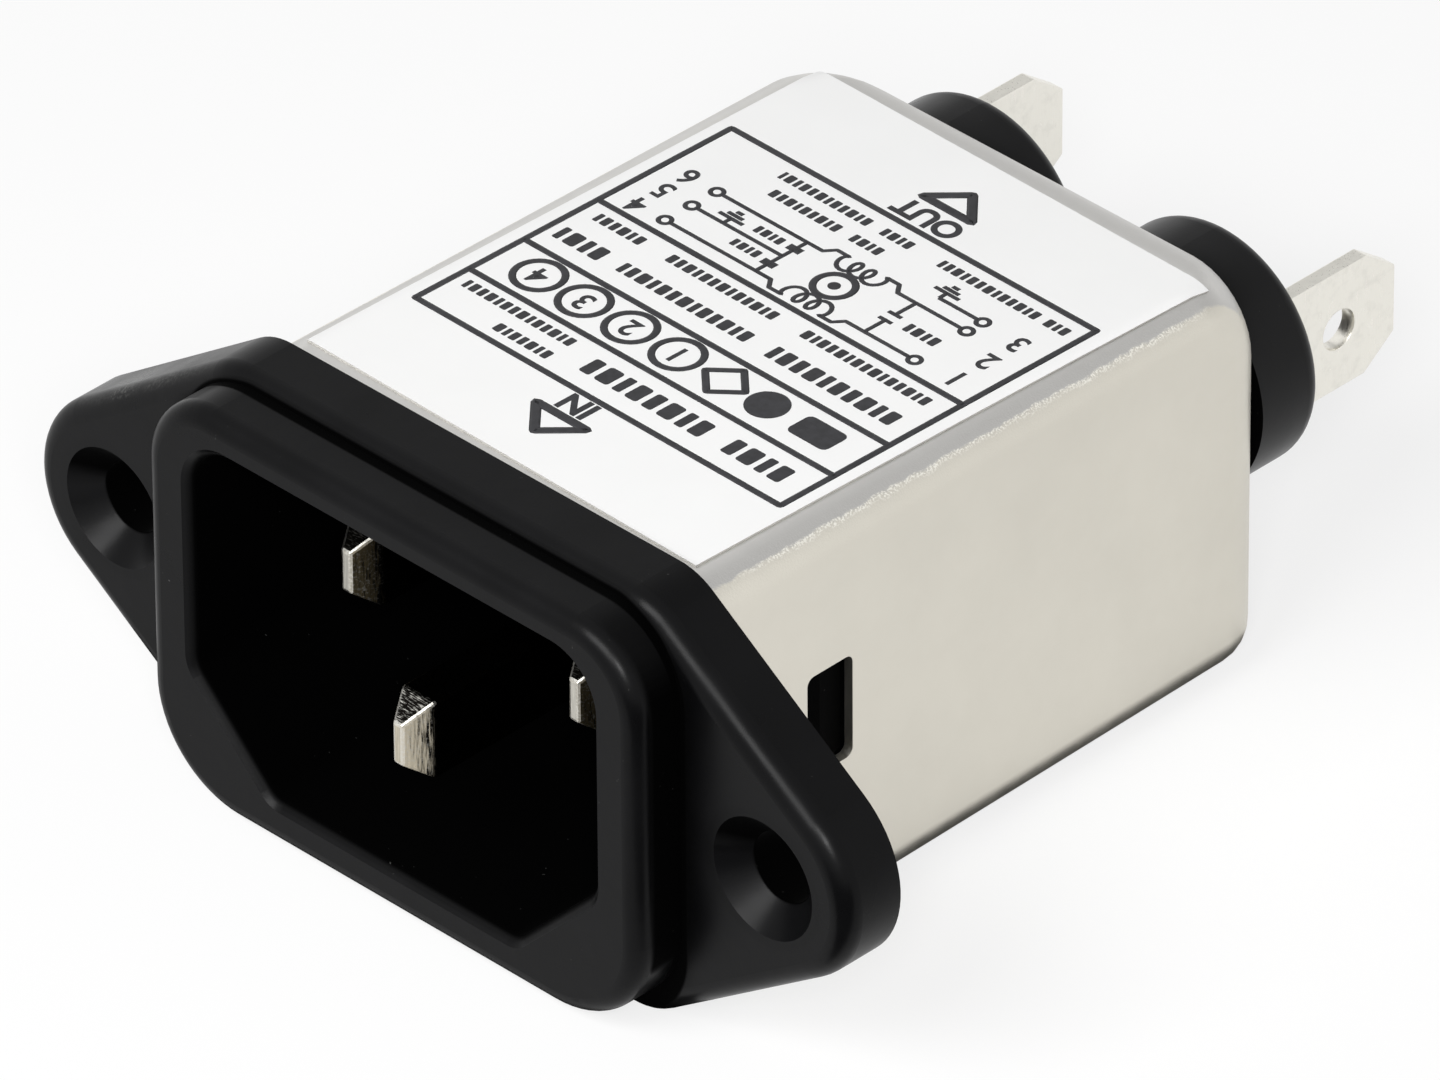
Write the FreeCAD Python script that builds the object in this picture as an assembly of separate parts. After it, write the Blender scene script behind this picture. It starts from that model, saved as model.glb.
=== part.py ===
import FreeCAD, Part
import math
import os

# Mains inlet with a built-in line filter, for a panel with two screws.
# Millimetres. X runs along the line of the screws, +Y goes back through the panel, +Z is up.
# The origin is the middle of the flange's rear face, which lies on the panel.

# Least that a fillet leaves of the height or radius it is cut from
fillet_margin = 0.1

# Panel flange
screw_spacing = 40.0
screw_hole_diameter = 3.4
countersink_diameter = 5.9
lobe_radius = 5.0
flange_thickness = 3.3
flange_flat = 25.9
flange_lip = 0.5
flange_corner_radius = 3.5
flange_edge_radius = 1.0

# Socket recess, with two cut corners on the earth side
socket_width = 24.6
socket_height = 16.6
socket_rise = 0.15
socket_depth = 16.5
socket_cut_corner = 4.8
socket_top_radius = 2.3
socket_cut_radius = 1.2
socket_lead_in = 0.45
socket_floor = 2.2
socket_side_wall = 1.13
socket_top_wall = 0.98
socket_bottom_wall = 1.93
socket_rear_bevel = 0.5

# Raised rim round the socket
rim_projection = 2.7
rim_side_wall = 2.8
rim_top_wall = 2.0
rim_bottom_wall = 2.3
rim_top_radius = 4.0
rim_bottom_radius = 5.3
rim_edge_radius = 0.9

# Contact pins
pin_spacing = 14.0
pin_thickness = 2.0
pin_height = 4.0
power_pin_rise = 2.1
earth_pin_drop = 1.7
power_pin_recess = 4.3
earth_pin_recess = 0.5
pin_tip_length = 1.3
pin_tip_thickness = 0.55
pin_tip_height = 2.1
pin_shoulder_width = 0.6
pin_shoulder_length = 1.0
pin_tail_length = 4.0
pin_tail_height = 2.4
pin_slip = 0.04

# Drawn steel can
can_sheet = 0.5
can_draft = 0.008
can_fit = 0.05
can_edge_radius = 2.2
can_seat_depth = 0.2
can_seat_clearance = 0.1
window_width = 2.8
window_height = 5.3
window_setback = 5.5
window_rise = 0.35
window_corner_radius = 0.4
tooth_gap = 0.2
tooth_rise = 0.35
tooth_land = 0.7

# Label film on the can
label_width = 24.3
label_thickness = 0.1
label_front = 1.1
label_rear_margin = 0.5

# Load terminals
boss_spacing = 14.3
boss_diameter = 11.9
boss_length = 3.9
boss_edge_radius = 0.9
terminal_rise = 1.65
stem_wall = 0.7
stem_inside = 1.2
stem_slip = 0.04
tab_spacing = 20.4
tab_width = 6.3
tab_thickness = 0.8
tab_reach = 7.25
tab_tip_length = 1.9
tab_tip_cut = 1.4
tab_hole_diameter = 2.0
tab_hole_from_tip = 3.6
tab_shoulder = 0.6
tab_tail_length = 4.5
tab_slip = 0.03

# Earth tab and the strap behind it
earth_tab_drop = 7.6
earth_tab_base = 4.2
earth_tab_reach = 10.0
earth_rivet_drop = 4.8
rivet_diameter = 1.6
rivet_head_diameter = 2.6
rivet_head_height = 0.6
rivet_crown_bevel = 0.4
rivet_slip = 0.03
strap_width = 3.0
strap_thickness = 0.5
strap_lap = 2.6
strap_bend_radius = 0.5
strap_rear_bend_radius = 2.6
strap_clearance = 0.1

# Insulating liner of the can
liner_thickness = 0.3
liner_slip = 0.05
liner_front_gap = 0.1
liner_rear_gap = 0.4

# Common-mode choke
core_outer_diameter = 15.0
core_inner_diameter = 8.0
core_height = 6.4
coil_slip = 0.05
coil_thickness = 0.85
coil_angle = 150.0
coil_lead_angle = 65.0
coil_wire_diameter = 0.9
coil_clearance = 0.15
choke_front_gap = 0.85
choke_rear_room = 2.0
divider_thickness = 1.0
divider_slip = 0.1

# Capacitors
x_capacitor_width = 12.5
x_capacitor_length = 10.5
x_capacitor_thickness = 5.0
x_capacitor_standoff = 4.5
x_capacitor_lead_pitch = 10.0
y_capacitor_diameter = 7.0
y_capacitor_thickness = 3.2
y_capacitor_bevel = 0.8
y_capacitor_lead_pitch = 2.0
capacitor_lead_diameter = 0.6
capacitor_clearance = 0.2

# Levels that the pieces share
socket_half_width = socket_width / 2
socket_top = socket_rise + socket_height / 2
socket_bottom = socket_rise - socket_height / 2
flange_front = -flange_thickness
rim_front = flange_front - rim_projection
rim_half_width = socket_half_width + rim_side_wall
rim_top = socket_top + rim_top_wall
rim_bottom = socket_bottom - rim_bottom_wall
flange_top = rim_top + flange_lip
flange_bottom = rim_bottom - flange_lip
floor_front = rim_front + socket_depth
floor_rear = floor_front + socket_floor
tub_half_width = socket_half_width + socket_side_wall
tub_top = socket_top + socket_top_wall
tub_bottom = socket_bottom - socket_bottom_wall
tail_end = floor_rear + pin_tail_length
choke_y = tail_end + choke_front_gap + core_outer_diameter / 2
can_floor = choke_y + core_outer_diameter / 2 + choke_rear_room
can_rear = can_floor + can_sheet
can_growth = can_fit + can_draft * floor_rear + can_sheet
boss_end = can_rear + boss_length
stem_end = can_floor - stem_inside
tab_tail_end = stem_end - tab_tail_length
liner_inset = can_sheet + liner_slip
lining = liner_inset + liner_thickness


def can_half_width(y):
    """Half the can's outside width at a depth behind the panel."""
    return tub_half_width + can_growth - can_draft * y


def can_top(y):
    """Height of the can's upper outside face at a depth behind the panel."""
    return tub_top + can_growth - can_draft * y


def can_bottom(y):
    """Height of the can's lower outside face at a depth behind the panel."""
    return tub_bottom - can_growth + can_draft * y


strap_bottom = can_bottom(can_rear) + lining + strap_clearance
strap_top = strap_bottom + strap_thickness
choke_z = strap_top + coil_clearance + coil_thickness + core_height / 2
coil_top = choke_z + core_height / 2 + coil_thickness


def across(y):
    """Place a flat (x, z) outline at a depth."""
    return lambda x, z: FreeCAD.Vector(x, y, z)


def along(x):
    """Place a flat (y, z) outline at one side."""
    return lambda y, z: FreeCAD.Vector(x, y, z)


def outline(corners, place):
    """Closed wire through (a, b, radius) corners, with an arc wherever the radius isn't zero."""
    edges = []
    ends = []
    for i, (a, b, radius) in enumerate(corners):
        corner = FreeCAD.Vector(a, b, 0)
        before = FreeCAD.Vector(*corners[i - 1][:2], 0) - corner
        after = FreeCAD.Vector(*corners[(i + 1) % len(corners)][:2], 0) - corner
        if radius == 0:
            ends.append((corner, corner))
            continue
        half = before.getAngle(after) / 2
        setback = radius / math.tan(half)
        before.normalize()
        after.normalize()
        inward = before + after
        inward.normalize()
        start = corner + before * setback
        end = corner + after * setback
        middle = corner + inward * (radius / math.sin(half) - radius)
        ends.append((start, end))
        edges.append(Part.Arc(*[place(p.x, p.y) for p in (start, middle, end)]).toShape())
    for i, (start, end) in enumerate(ends):
        before = ends[i - 1][1]
        if (start - before).Length > 1e-6:
            edges.append(Part.LineSegment(place(before.x, before.y), place(start.x, start.y)).toShape())
    return Part.Wire(Part.__sortEdges__(edges))


def slab(corners, start, end):
    """Solid of an (x, z) outline between two depths."""
    return Part.Face(outline(corners, across(start))).extrude(FreeCAD.Vector(0, end - start, 0))


def sheet(corners, start, end):
    """Solid of a (y, z) outline between two sides."""
    return Part.Face(outline(corners, along(start))).extrude(FreeCAD.Vector(end - start, 0, 0))


def plan(corners, bottom, top):
    """Solid of a sharp-cornered (x, y) outline between two heights."""
    points = [FreeCAD.Vector(x, y, bottom) for x, y in corners + corners[:1]]
    return Part.Face(Part.makePolygon(points)).extrude(FreeCAD.Vector(0, 0, top - bottom))


def block(x, y, z):
    """Box between two bounds on each axis."""
    size = [high - low for low, high in (x, y, z)]
    return Part.makeBox(*size, FreeCAD.Vector(x[0], y[0], z[0]))


def rod(start, end, diameter):
    """Round bar between two points."""
    step = end - start
    return Part.makeCylinder(diameter / 2, step.Length, start, step)


def wire(points, diameter):
    """Round wire through points, with mitred bends and flat ends."""
    points = [FreeCAD.Vector(*p) for p in points]
    ring = Part.Wire(Part.Circle(points[0], points[1] - points[0], diameter / 2).toShape())
    return Part.makePolygon(points).makePipeShell([ring], True, False, 1)


def strip(path, thickness, radii):
    """Corners of a bent strip of even thickness along a (y, z) path."""
    left = []
    right = []
    for i, (y, z) in enumerate(path):
        point = FreeCAD.Vector(y, z, 0)
        runs = [FreeCAD.Vector(*b, 0) - FreeCAD.Vector(*a, 0) for a, b in zip(path, path[1:])]
        first = runs[max(i - 1, 0)]
        last = runs[min(i, len(runs) - 1)]
        first.normalize()
        last.normalize()
        side = FreeCAD.Vector(-first.y - last.y, first.x + last.x, 0)
        side.normalize()
        turn = first.cross(last).z
        reach = thickness / 2 / math.cos(first.getAngle(last) / 2)
        for edge, sign in ((left, 1), (right, -1)):
            corner = point + side * reach * sign
            radius = 0
            if abs(turn) > 1e-9:
                radius = radii[i - 1] + (thickness if turn * sign < 0 else 0)
            edge.append((corner.x, corner.y, radius))
    return left + right[::-1]


def edges_at(shape, y, half_width=math.inf, top=math.inf):
    """Edges that lie at one depth, within a half width and below a height."""
    found = []
    for edge in shape.Edges:
        box = edge.BoundBox
        flat = abs(box.YMin - y) < 1e-4 and abs(box.YMax - y) < 1e-4
        near = max(abs(box.XMin), abs(box.XMax)) < half_width and box.ZMax < top
        if flat and near:
            found.append(edge)
    return found


def edges_along_x(shape):
    """Straight edges that run across the part."""
    return [e for e in shape.Edges if e.BoundBox.YLength + e.BoundBox.ZLength < 1e-4]


def mirrored(shape):
    """The same piece on the other side of the part."""
    return shape.mirror(FreeCAD.Vector(0, 0, 0), FreeCAD.Vector(1, 0, 0))


def socket_corners(side=0.0, top=0.0, bottom=0.0):
    """Outline of the socket, grown by a wall on each side."""
    half = socket_half_width + side
    high = socket_top + top
    low = socket_bottom - bottom
    cut = socket_cut_corner + (side + bottom) * (1 - math.tan(math.pi / 8))
    return [
        (-half, high, socket_top_radius + min(side, top)),
        (half, high, socket_top_radius + min(side, top)),
        (half, low + cut, socket_cut_radius + min(side, bottom)),
        (half - cut, low, socket_cut_radius + min(side, bottom)),
        (cut - half, low, socket_cut_radius + min(side, bottom)),
        (-half, low + cut, socket_cut_radius + min(side, bottom)),
    ]


def flange():
    """Plate whose slanted edges run on round the two screw lobes, with a shallow seat for the can's mouth."""
    screw_x = screw_spacing / 2
    corner_x = flange_flat / 2
    middle = (flange_top + flange_bottom) / 2
    half_height = (flange_top - flange_bottom) / 2
    to_screw = math.hypot(screw_x - corner_x, half_height)
    slant = math.atan2(half_height, screw_x - corner_x) - math.asin(lobe_radius / to_screw)
    apex_x = corner_x + half_height / math.tan(slant)
    plate = slab([
        (-corner_x, flange_top, flange_corner_radius),
        (corner_x, flange_top, flange_corner_radius),
        (apex_x, middle, lobe_radius),
        (corner_x, flange_bottom, flange_corner_radius),
        (-corner_x, flange_bottom, flange_corner_radius),
        (-apex_x, middle, lobe_radius),
    ], flange_front, 0)
    plate = plate.makeFillet(min(flange_edge_radius, flange_thickness / 2), edges_at(plate, flange_front))
    return plate.cut(slab(can_corners(-can_seat_clearance), -can_seat_depth, 0))


def rim():
    """Raised collar that surrounds the socket in front of the flange."""
    collar = slab([
        (-rim_half_width, rim_top, rim_top_radius),
        (rim_half_width, rim_top, rim_top_radius),
        (rim_half_width, rim_bottom, rim_bottom_radius),
        (-rim_half_width, rim_bottom, rim_bottom_radius),
    ], rim_front, -flange_thickness / 2)
    radius = min(rim_edge_radius, rim_projection / 2, rim_top_wall / 2)
    return collar.makeFillet(radius, edges_at(collar, rim_front))


def tub():
    """Walls of the socket behind the flange, which close the can's mouth."""
    corners = socket_corners(socket_side_wall, socket_top_wall, socket_bottom_wall)
    walls = slab(corners, flange_front, floor_rear)
    return walls.makeChamfer(min(socket_rear_bevel, socket_floor / 2), edges_at(walls, floor_rear))


def screw_hole(x):
    """Countersunk clearance hole through one lobe of the flange."""
    depth = (countersink_diameter - screw_hole_diameter) / 2
    rear = FreeCAD.Vector(x, 0, 0)
    front = FreeCAD.Vector(x, flange_front, 0)
    sink = Part.makeCone(countersink_diameter / 2, screw_hole_diameter / 2, depth, front, rear - front)
    return rod(front, rear, screw_hole_diameter).fuse(sink)


def latch_tooth():
    """Wedge on the tub's side that the can's window snaps over, steep towards the panel."""
    front = window_setback + tooth_gap
    rear = window_setback + window_width - tooth_gap
    half_height = window_height / 2 - tooth_gap
    crest = can_half_width(window_setback) - can_sheet + tooth_rise
    root = socket_half_width + socket_side_wall / 2
    corners = [(root, front), (crest, front), (crest, front + tooth_land)]
    corners += [(tub_half_width, rear), (root, rear)]
    return plan(corners, window_rise - half_height, window_rise + half_height)


def pin_places():
    """Side, height and tip depth of each contact pin."""
    power_tip = rim_front + power_pin_recess
    return {
        "left_power_pin": (-pin_spacing / 2, power_pin_rise, power_tip),
        "right_power_pin": (pin_spacing / 2, power_pin_rise, power_tip),
        "earth_pin": (0, -earth_pin_drop, rim_front + earth_pin_recess),
    }


def pin_passage(x, z):
    """Slot through the socket's floor for one pin, with a pocket for its shoulder."""
    half_x = pin_thickness / 2 + pin_slip
    half_z = pin_height / 2 + pin_slip
    slot = block((x - half_x, x + half_x), (floor_front, floor_rear), (z - half_z, z + half_z))
    half_x += pin_shoulder_width
    half_z += pin_shoulder_width
    pocket = (floor_rear - pin_shoulder_length, floor_rear)
    return slot.fuse(block((x - half_x, x + half_x), pocket, (z - half_z, z + half_z)))


def inlet_housing():
    """One moulding: flange, rim, socket, floor and latch teeth."""
    tooth = latch_tooth()
    body = flange().fuse([rim(), tub(), tooth, mirrored(tooth)])
    recess = slab(socket_corners(), rim_front, floor_front)
    holes = [screw_hole(side * screw_spacing / 2) for side in (-1, 1)]
    passages = [pin_passage(x, z) for x, z, tip in pin_places().values()]
    body = body.cut([recess] + holes + passages).removeSplitter()
    mouth = edges_at(body, rim_front, socket_half_width + rim_side_wall / 4, socket_top + rim_top_wall / 4)
    mouth = [e for e in mouth if e.BoundBox.ZMin > socket_bottom - rim_bottom_wall / 4]
    return body.makeChamfer(min(socket_lead_in, rim_top_wall / 4), mouth)


def contact_pin(x, z, tip):
    """Flat blade with a chamfered tip, a shoulder in the socket's floor and a solder tail."""
    half_x = pin_thickness / 2
    half_z = pin_height / 2
    nose = tip + pin_tip_length
    tip_x = pin_tip_thickness / 2
    tip_z = pin_tip_height / 2
    point = Part.makeWedge(x - tip_x, tip, z - tip_z, z - half_z, x - half_x,
                           x + tip_x, nose, z + tip_z, z + half_z, x + half_x)
    blade = block((x - half_x, x + half_x), (nose, floor_rear), (z - half_z, z + half_z))
    step_x = half_x + pin_shoulder_width
    step_z = half_z + pin_shoulder_width
    seat = (floor_rear - pin_shoulder_length, floor_rear)
    shoulder = block((x - step_x, x + step_x), seat, (z - step_z, z + step_z))
    tail_z = pin_tail_height / 2
    tail = block((x - half_x, x + half_x), (floor_rear, tail_end), (z - tail_z, z + tail_z))
    return point.fuse([blade, shoulder, tail]).removeSplitter()


def can_corners(inset):
    """Rounded outline of the can's mouth, moved in from its outside."""
    half = can_half_width(-can_seat_depth) - inset
    top = can_top(-can_seat_depth) - inset
    bottom = can_bottom(-can_seat_depth) + inset
    radius = can_edge_radius - inset
    return [(-half, top, radius), (half, top, radius), (half, bottom, radius), (-half, bottom, radius)]


def can_form(start, end, inset, closed):
    """Drafted body that follows the can's outside at an inset, with a rounded rear edge if it is closed."""
    near = can_half_width(start) - inset
    far = can_half_width(end) - inset
    body = Part.makeWedge(-near, start, can_bottom(start) + inset, can_bottom(end) + inset, -far,
                          near, end, can_top(start) - inset, can_top(end) - inset, far)
    square = edges_at(body, start)
    if not closed:
        square += edges_at(body, end)
    rounded = [e for e in body.Edges if not any(e.isSame(s) for s in square)]
    return body.makeFillet(can_edge_radius - inset, rounded)


def filter_can():
    """Deep-drawn can with two latch windows and openings for the terminals at the rear."""
    outside = can_form(-can_seat_depth, can_rear, 0, True)
    inside = can_form(-can_seat_depth, can_floor, can_sheet, True)
    reach = can_half_width(0) + can_sheet
    window = block((-reach, reach), (window_setback, window_setback + window_width),
                   (window_rise - window_height / 2, window_rise + window_height / 2))
    window = window.makeFillet(window_corner_radius, edges_along_x(window))
    through = (can_floor - can_sheet, can_rear + can_sheet)
    stem = block(stem_range(stem_slip), through, stem_height(stem_slip))
    rivet_z = -earth_rivet_drop
    rivet_ends = [FreeCAD.Vector(0, y, rivet_z) for y in through]
    rivet = rod(*rivet_ends, rivet_diameter + 2 * rivet_slip)
    return outside.cut([inside, window, stem, mirrored(stem), rivet])


def label_film():
    """Thin film stuck on the can's upper face, ending before the rounded rear edge."""
    rear = can_rear - can_edge_radius - label_rear_margin
    lower = [(y, can_top(y), 0) for y in (label_front, rear)]
    upper = [(y, z + label_thickness, 0) for y, z, radius in lower[::-1]]
    return sheet(lower + upper, -label_width / 2, label_width / 2)


def stem_range(slip):
    """Bounds across the part of the right insulator's stem."""
    half = tab_thickness / 2 + stem_wall + slip
    return (tab_spacing / 2 - half, tab_spacing / 2 + half)


def stem_height(slip):
    """Bounds in height of an insulator's stem."""
    half = tab_width / 2 + stem_wall + slip
    return (terminal_rise - half, terminal_rise + half)


def terminal_insulator():
    """Right insulator: a round boss on the can's rear with a stem through the wall round the tab."""
    centre = FreeCAD.Vector(boss_spacing / 2, can_rear, terminal_rise)
    boss = rod(centre, centre + FreeCAD.Vector(0, boss_length, 0), boss_diameter)
    boss = boss.makeFillet(min(boss_edge_radius, boss_length / 2), edges_at(boss, boss_end))
    stem = block(stem_range(0), (stem_end, can_rear), stem_height(0))
    half_x = tab_thickness / 2 + tab_slip
    half_z = tab_width / 2 + tab_slip
    slot = block((tab_spacing / 2 - half_x, tab_spacing / 2 + half_x), (stem_end, boss_end),
                 (terminal_rise - half_z, terminal_rise + half_z))
    return boss.fuse(stem).cut(slot).removeSplitter()


def tab_tip(end, half):
    """Corners of a tab's cut tip, from its lower edge to its upper one."""
    return [(end - tab_tip_length, -half), (end, tab_tip_cut - half),
            (end, half - tab_tip_cut), (end - tab_tip_length, half)]


def load_tab():
    """Right push-on tab, with a shoulder and a solder tail inside the can."""
    end = boss_end + tab_reach
    half = tab_width / 2
    wide = half + tab_shoulder
    corners = [(tab_tail_end, -wide), (stem_end, -wide), (stem_end, -half)] + tab_tip(end, half)
    corners += [(stem_end, half), (stem_end, wide), (tab_tail_end, wide)]
    corners = [(y, z + terminal_rise, 0) for y, z in corners]
    side = tab_spacing / 2 - tab_thickness / 2
    blade = sheet(corners, side, side + tab_thickness)
    hole = FreeCAD.Vector(side, end - tab_hole_from_tip, terminal_rise)
    return blade.cut(rod(hole, hole + FreeCAD.Vector(tab_thickness, 0, 0), tab_hole_diameter))


def earth_tab():
    """Tab bent from a base that is riveted to the can's rear wall."""
    half = tab_thickness / 2
    low = half - earth_tab_drop
    top = earth_tab_base - earth_tab_drop
    end = can_rear + earth_tab_reach
    side = tab_width / 2
    path = [(can_rear + half, top), (can_rear + half, low), (end, low)]
    bent = sheet(strip(path, tab_thickness, [half]), -side, side)
    tip = [(x, y) for y, x in tab_tip(end, side)]
    blank = plan(tip + [(side, can_rear), (-side, can_rear)], -earth_tab_drop, top)
    hole = FreeCAD.Vector(0, end - tab_hole_from_tip, -earth_tab_drop)
    eye = rod(hole, hole + FreeCAD.Vector(0, 0, tab_thickness), tab_hole_diameter)
    seat = FreeCAD.Vector(0, can_rear, -earth_rivet_drop)
    rivet = rod(seat, seat + FreeCAD.Vector(0, tab_thickness, 0), rivet_diameter + 2 * rivet_slip)
    return bent.common(blank).cut([eye, rivet])


def earth_rivet():
    """Rivet that holds the earth tab and the strap to the can's rear wall."""
    inner = FreeCAD.Vector(0, can_floor - strap_thickness, -earth_rivet_drop)
    outer = FreeCAD.Vector(0, can_rear + tab_thickness, -earth_rivet_drop)
    lift = FreeCAD.Vector(0, rivet_head_height, 0)
    shank = rod(inner, outer, rivet_diameter)
    heads = [rod(inner - lift, inner, rivet_head_diameter), rod(outer, outer + lift, rivet_head_diameter)]
    rivet = shank.fuse(heads).removeSplitter()
    crowns = edges_at(rivet, inner.y - rivet_head_height) + edges_at(rivet, outer.y + rivet_head_height)
    return rivet.makeChamfer(min(rivet_crown_bevel, rivet_head_height - fillet_margin), crowns)


def earth_strap():
    """Bent strip from the earth pin's tail, under the choke, to the rivet in the rear wall."""
    half = strap_thickness / 2
    lap = -earth_pin_drop - pin_tail_height / 2 - half
    start = floor_rear + liner_front_gap
    low = strap_bottom + half
    rear = can_floor - half
    top = rivet_head_diameter / 2 + strap_thickness - earth_rivet_drop
    drop = start + strap_lap
    path = [(start, lap), (drop, lap), (drop, low), (rear, low), (rear, top)]
    radii = [strap_bend_radius, strap_bend_radius, strap_rear_bend_radius]
    strap = sheet(strip(path, strap_thickness, radii), -strap_width / 2, strap_width / 2)
    seat = FreeCAD.Vector(0, can_floor, -earth_rivet_drop)
    inner = seat - FreeCAD.Vector(0, strap_thickness, 0)
    return strap.cut(rod(inner, seat, rivet_diameter + 2 * rivet_slip))


def insulating_liner():
    """Thin sleeve between the can and the parts of the filter."""
    start = floor_rear + liner_front_gap
    end = can_floor - can_edge_radius - liner_rear_gap
    return can_form(start, end, liner_inset, False).cut(can_form(start, end, lining, False))


def ring_section(slip, start):
    """Outline of the choke's ring in a plane through its axis, grown by a slip."""
    low = core_inner_diameter / 2 - slip
    high = core_outer_diameter / 2 + slip
    half = core_height / 2 + slip
    corners = [(low, choke_z - half, 0), (high, choke_z - half, 0),
               (high, choke_z + half, 0), (low, choke_z + half, 0)]
    face = Part.Face(outline(corners, across(choke_y)))
    centre = FreeCAD.Vector(0, choke_y, 0)
    face.rotate(centre, FreeCAD.Vector(0, 0, 1), start)
    return face


def turned(face, angle):
    """Ring or sector swept round the choke's upright axis."""
    return face.revolve(FreeCAD.Vector(0, choke_y, 0), FreeCAD.Vector(0, 0, 1), angle)


def choke_core():
    """Ferrite ring that lies flat in the can."""
    return turned(ring_section(0, 0), 360)


def right_winding():
    """Right coil on the ring, with its leads to the power pin and to the load tab."""
    start = -coil_angle / 2
    sleeve = turned(ring_section(coil_thickness, start), coil_angle)
    sleeve = sleeve.cut(turned(ring_section(coil_slip, start), coil_angle))
    ring_radius = (core_outer_diameter + core_inner_diameter) / 4
    angle = math.radians(coil_lead_angle)
    x = ring_radius * math.cos(angle)
    front = choke_y - ring_radius * math.sin(angle)
    rear = choke_y + ring_radius * math.sin(angle)
    inside = coil_top - (coil_thickness - coil_slip) / 2
    pin_x = pin_spacing / 2
    before = tail_end + coil_wire_diameter
    line_side = wire([(x, front, inside), (x, front, power_pin_rise), (pin_x, before, power_pin_rise),
                      (pin_x, tail_end, power_pin_rise)], coil_wire_diameter)
    tab_side = tab_spacing / 2 - tab_thickness / 2
    load_side = wire([(x, rear, inside), (x, rear, terminal_rise), (tab_side, rear, terminal_rise)],
                     coil_wire_diameter)
    return sleeve.fuse([line_side, load_side]).removeSplitter()


def choke_divider():
    """Insulating plate that keeps the two coils apart in the ring's bore."""
    half = core_inner_diameter / 2 - divider_slip
    half_x = divider_thickness / 2
    return block((-half_x, half_x), (choke_y - half, choke_y + half),
                 (choke_z - core_height / 2, choke_z + core_height / 2))


def x_capacitor():
    """Box capacitor under the can's upper wall, with leads to the two power pins."""
    front = floor_rear + x_capacitor_standoff
    rear = front + x_capacitor_length
    top = can_top(rear) - lining - capacitor_clearance
    middle = top - x_capacitor_thickness / 2
    half = x_capacitor_width / 2
    body = block((-half, half), (front, rear), (top - x_capacitor_thickness, top))
    tail_top = power_pin_rise + pin_tail_height / 2
    tail_middle = (floor_rear + tail_end) / 2
    lead_x = x_capacitor_lead_pitch / 2
    pin_x = pin_spacing / 2
    bend = (front + tail_middle) / 2
    drop = (middle + tail_top) / 2
    lead = wire([(lead_x, front + capacitor_lead_diameter, middle), (lead_x, bend, middle),
                 (pin_x, tail_middle, drop), (pin_x, tail_middle, tail_top)], capacitor_lead_diameter)
    return body.fuse([lead, mirrored(lead)]).removeSplitter()


def right_y_capacitor():
    """Disc capacitor beside the choke, with leads to the load tab and to the earth strap."""
    side = can_half_width(can_floor) - lining - capacitor_clearance
    radius = y_capacitor_diameter / 2
    start = FreeCAD.Vector(side - y_capacitor_thickness, choke_y, choke_z)
    disc = rod(start, start + FreeCAD.Vector(y_capacitor_thickness, 0, 0), y_capacitor_diameter)
    rims = [e for e in disc.Edges if e.BoundBox.XLength < 1e-4]
    disc = disc.makeChamfer(min(y_capacitor_bevel, y_capacitor_thickness / 3), rims)
    x = side - y_capacitor_thickness / 2
    half_pitch = y_capacitor_lead_pitch / 2
    rear = choke_y + half_pitch
    front = choke_y - half_pitch
    tab_x = tab_spacing / 2
    bend = (rear + tab_tail_end) / 2
    load_lead = wire([(x, rear, choke_z + radius / 2), (x, rear, terminal_rise - capacitor_lead_diameter),
                      (tab_x, bend, terminal_rise), (tab_x, tab_tail_end, terminal_rise)],
                     capacitor_lead_diameter)
    low = (strap_bottom + strap_top) / 2
    earth_lead = wire([(x, front, choke_z - radius / 2), (x, front, low), (strap_width / 2, front, low)],
                      capacitor_lead_diameter)
    return disc.fuse([load_lead, earth_lead]).removeSplitter()


def pieces():
    """Every piece of the inlet by name."""
    parts = {"inlet_housing": inlet_housing()}
    for name, place in pin_places().items():
        parts[name] = contact_pin(*place)
    parts["filter_can"] = filter_can()
    parts["label_film"] = label_film()
    sided = {
        "terminal_insulator": terminal_insulator(),
        "load_tab": load_tab(),
        "winding": right_winding(),
        "y_capacitor": right_y_capacitor(),
    }
    for name, shape in sided.items():
        parts["right_" + name] = shape
        parts["left_" + name] = mirrored(shape)
    parts["earth_tab"] = earth_tab()
    parts["earth_rivet"] = earth_rivet()
    parts["earth_strap"] = earth_strap()
    parts["insulating_liner"] = insulating_liner()
    parts["choke_core"] = choke_core()
    parts["choke_divider"] = choke_divider()
    parts["x_capacitor"] = x_capacitor()
    return parts


os.makedirs("parts", exist_ok=True)
for name, shape in pieces().items():
    shape.exportStep("parts/" + name + ".step")
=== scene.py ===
"""Finish, label print and studio for a panel-mount mains inlet with a line filter in a drawn can."""

import math
from collections import namedtuple

import bmesh
import bpy
from bpy.props import FloatProperty, FloatVectorProperty, PointerProperty
from mathutils import Matrix, Vector


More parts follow.
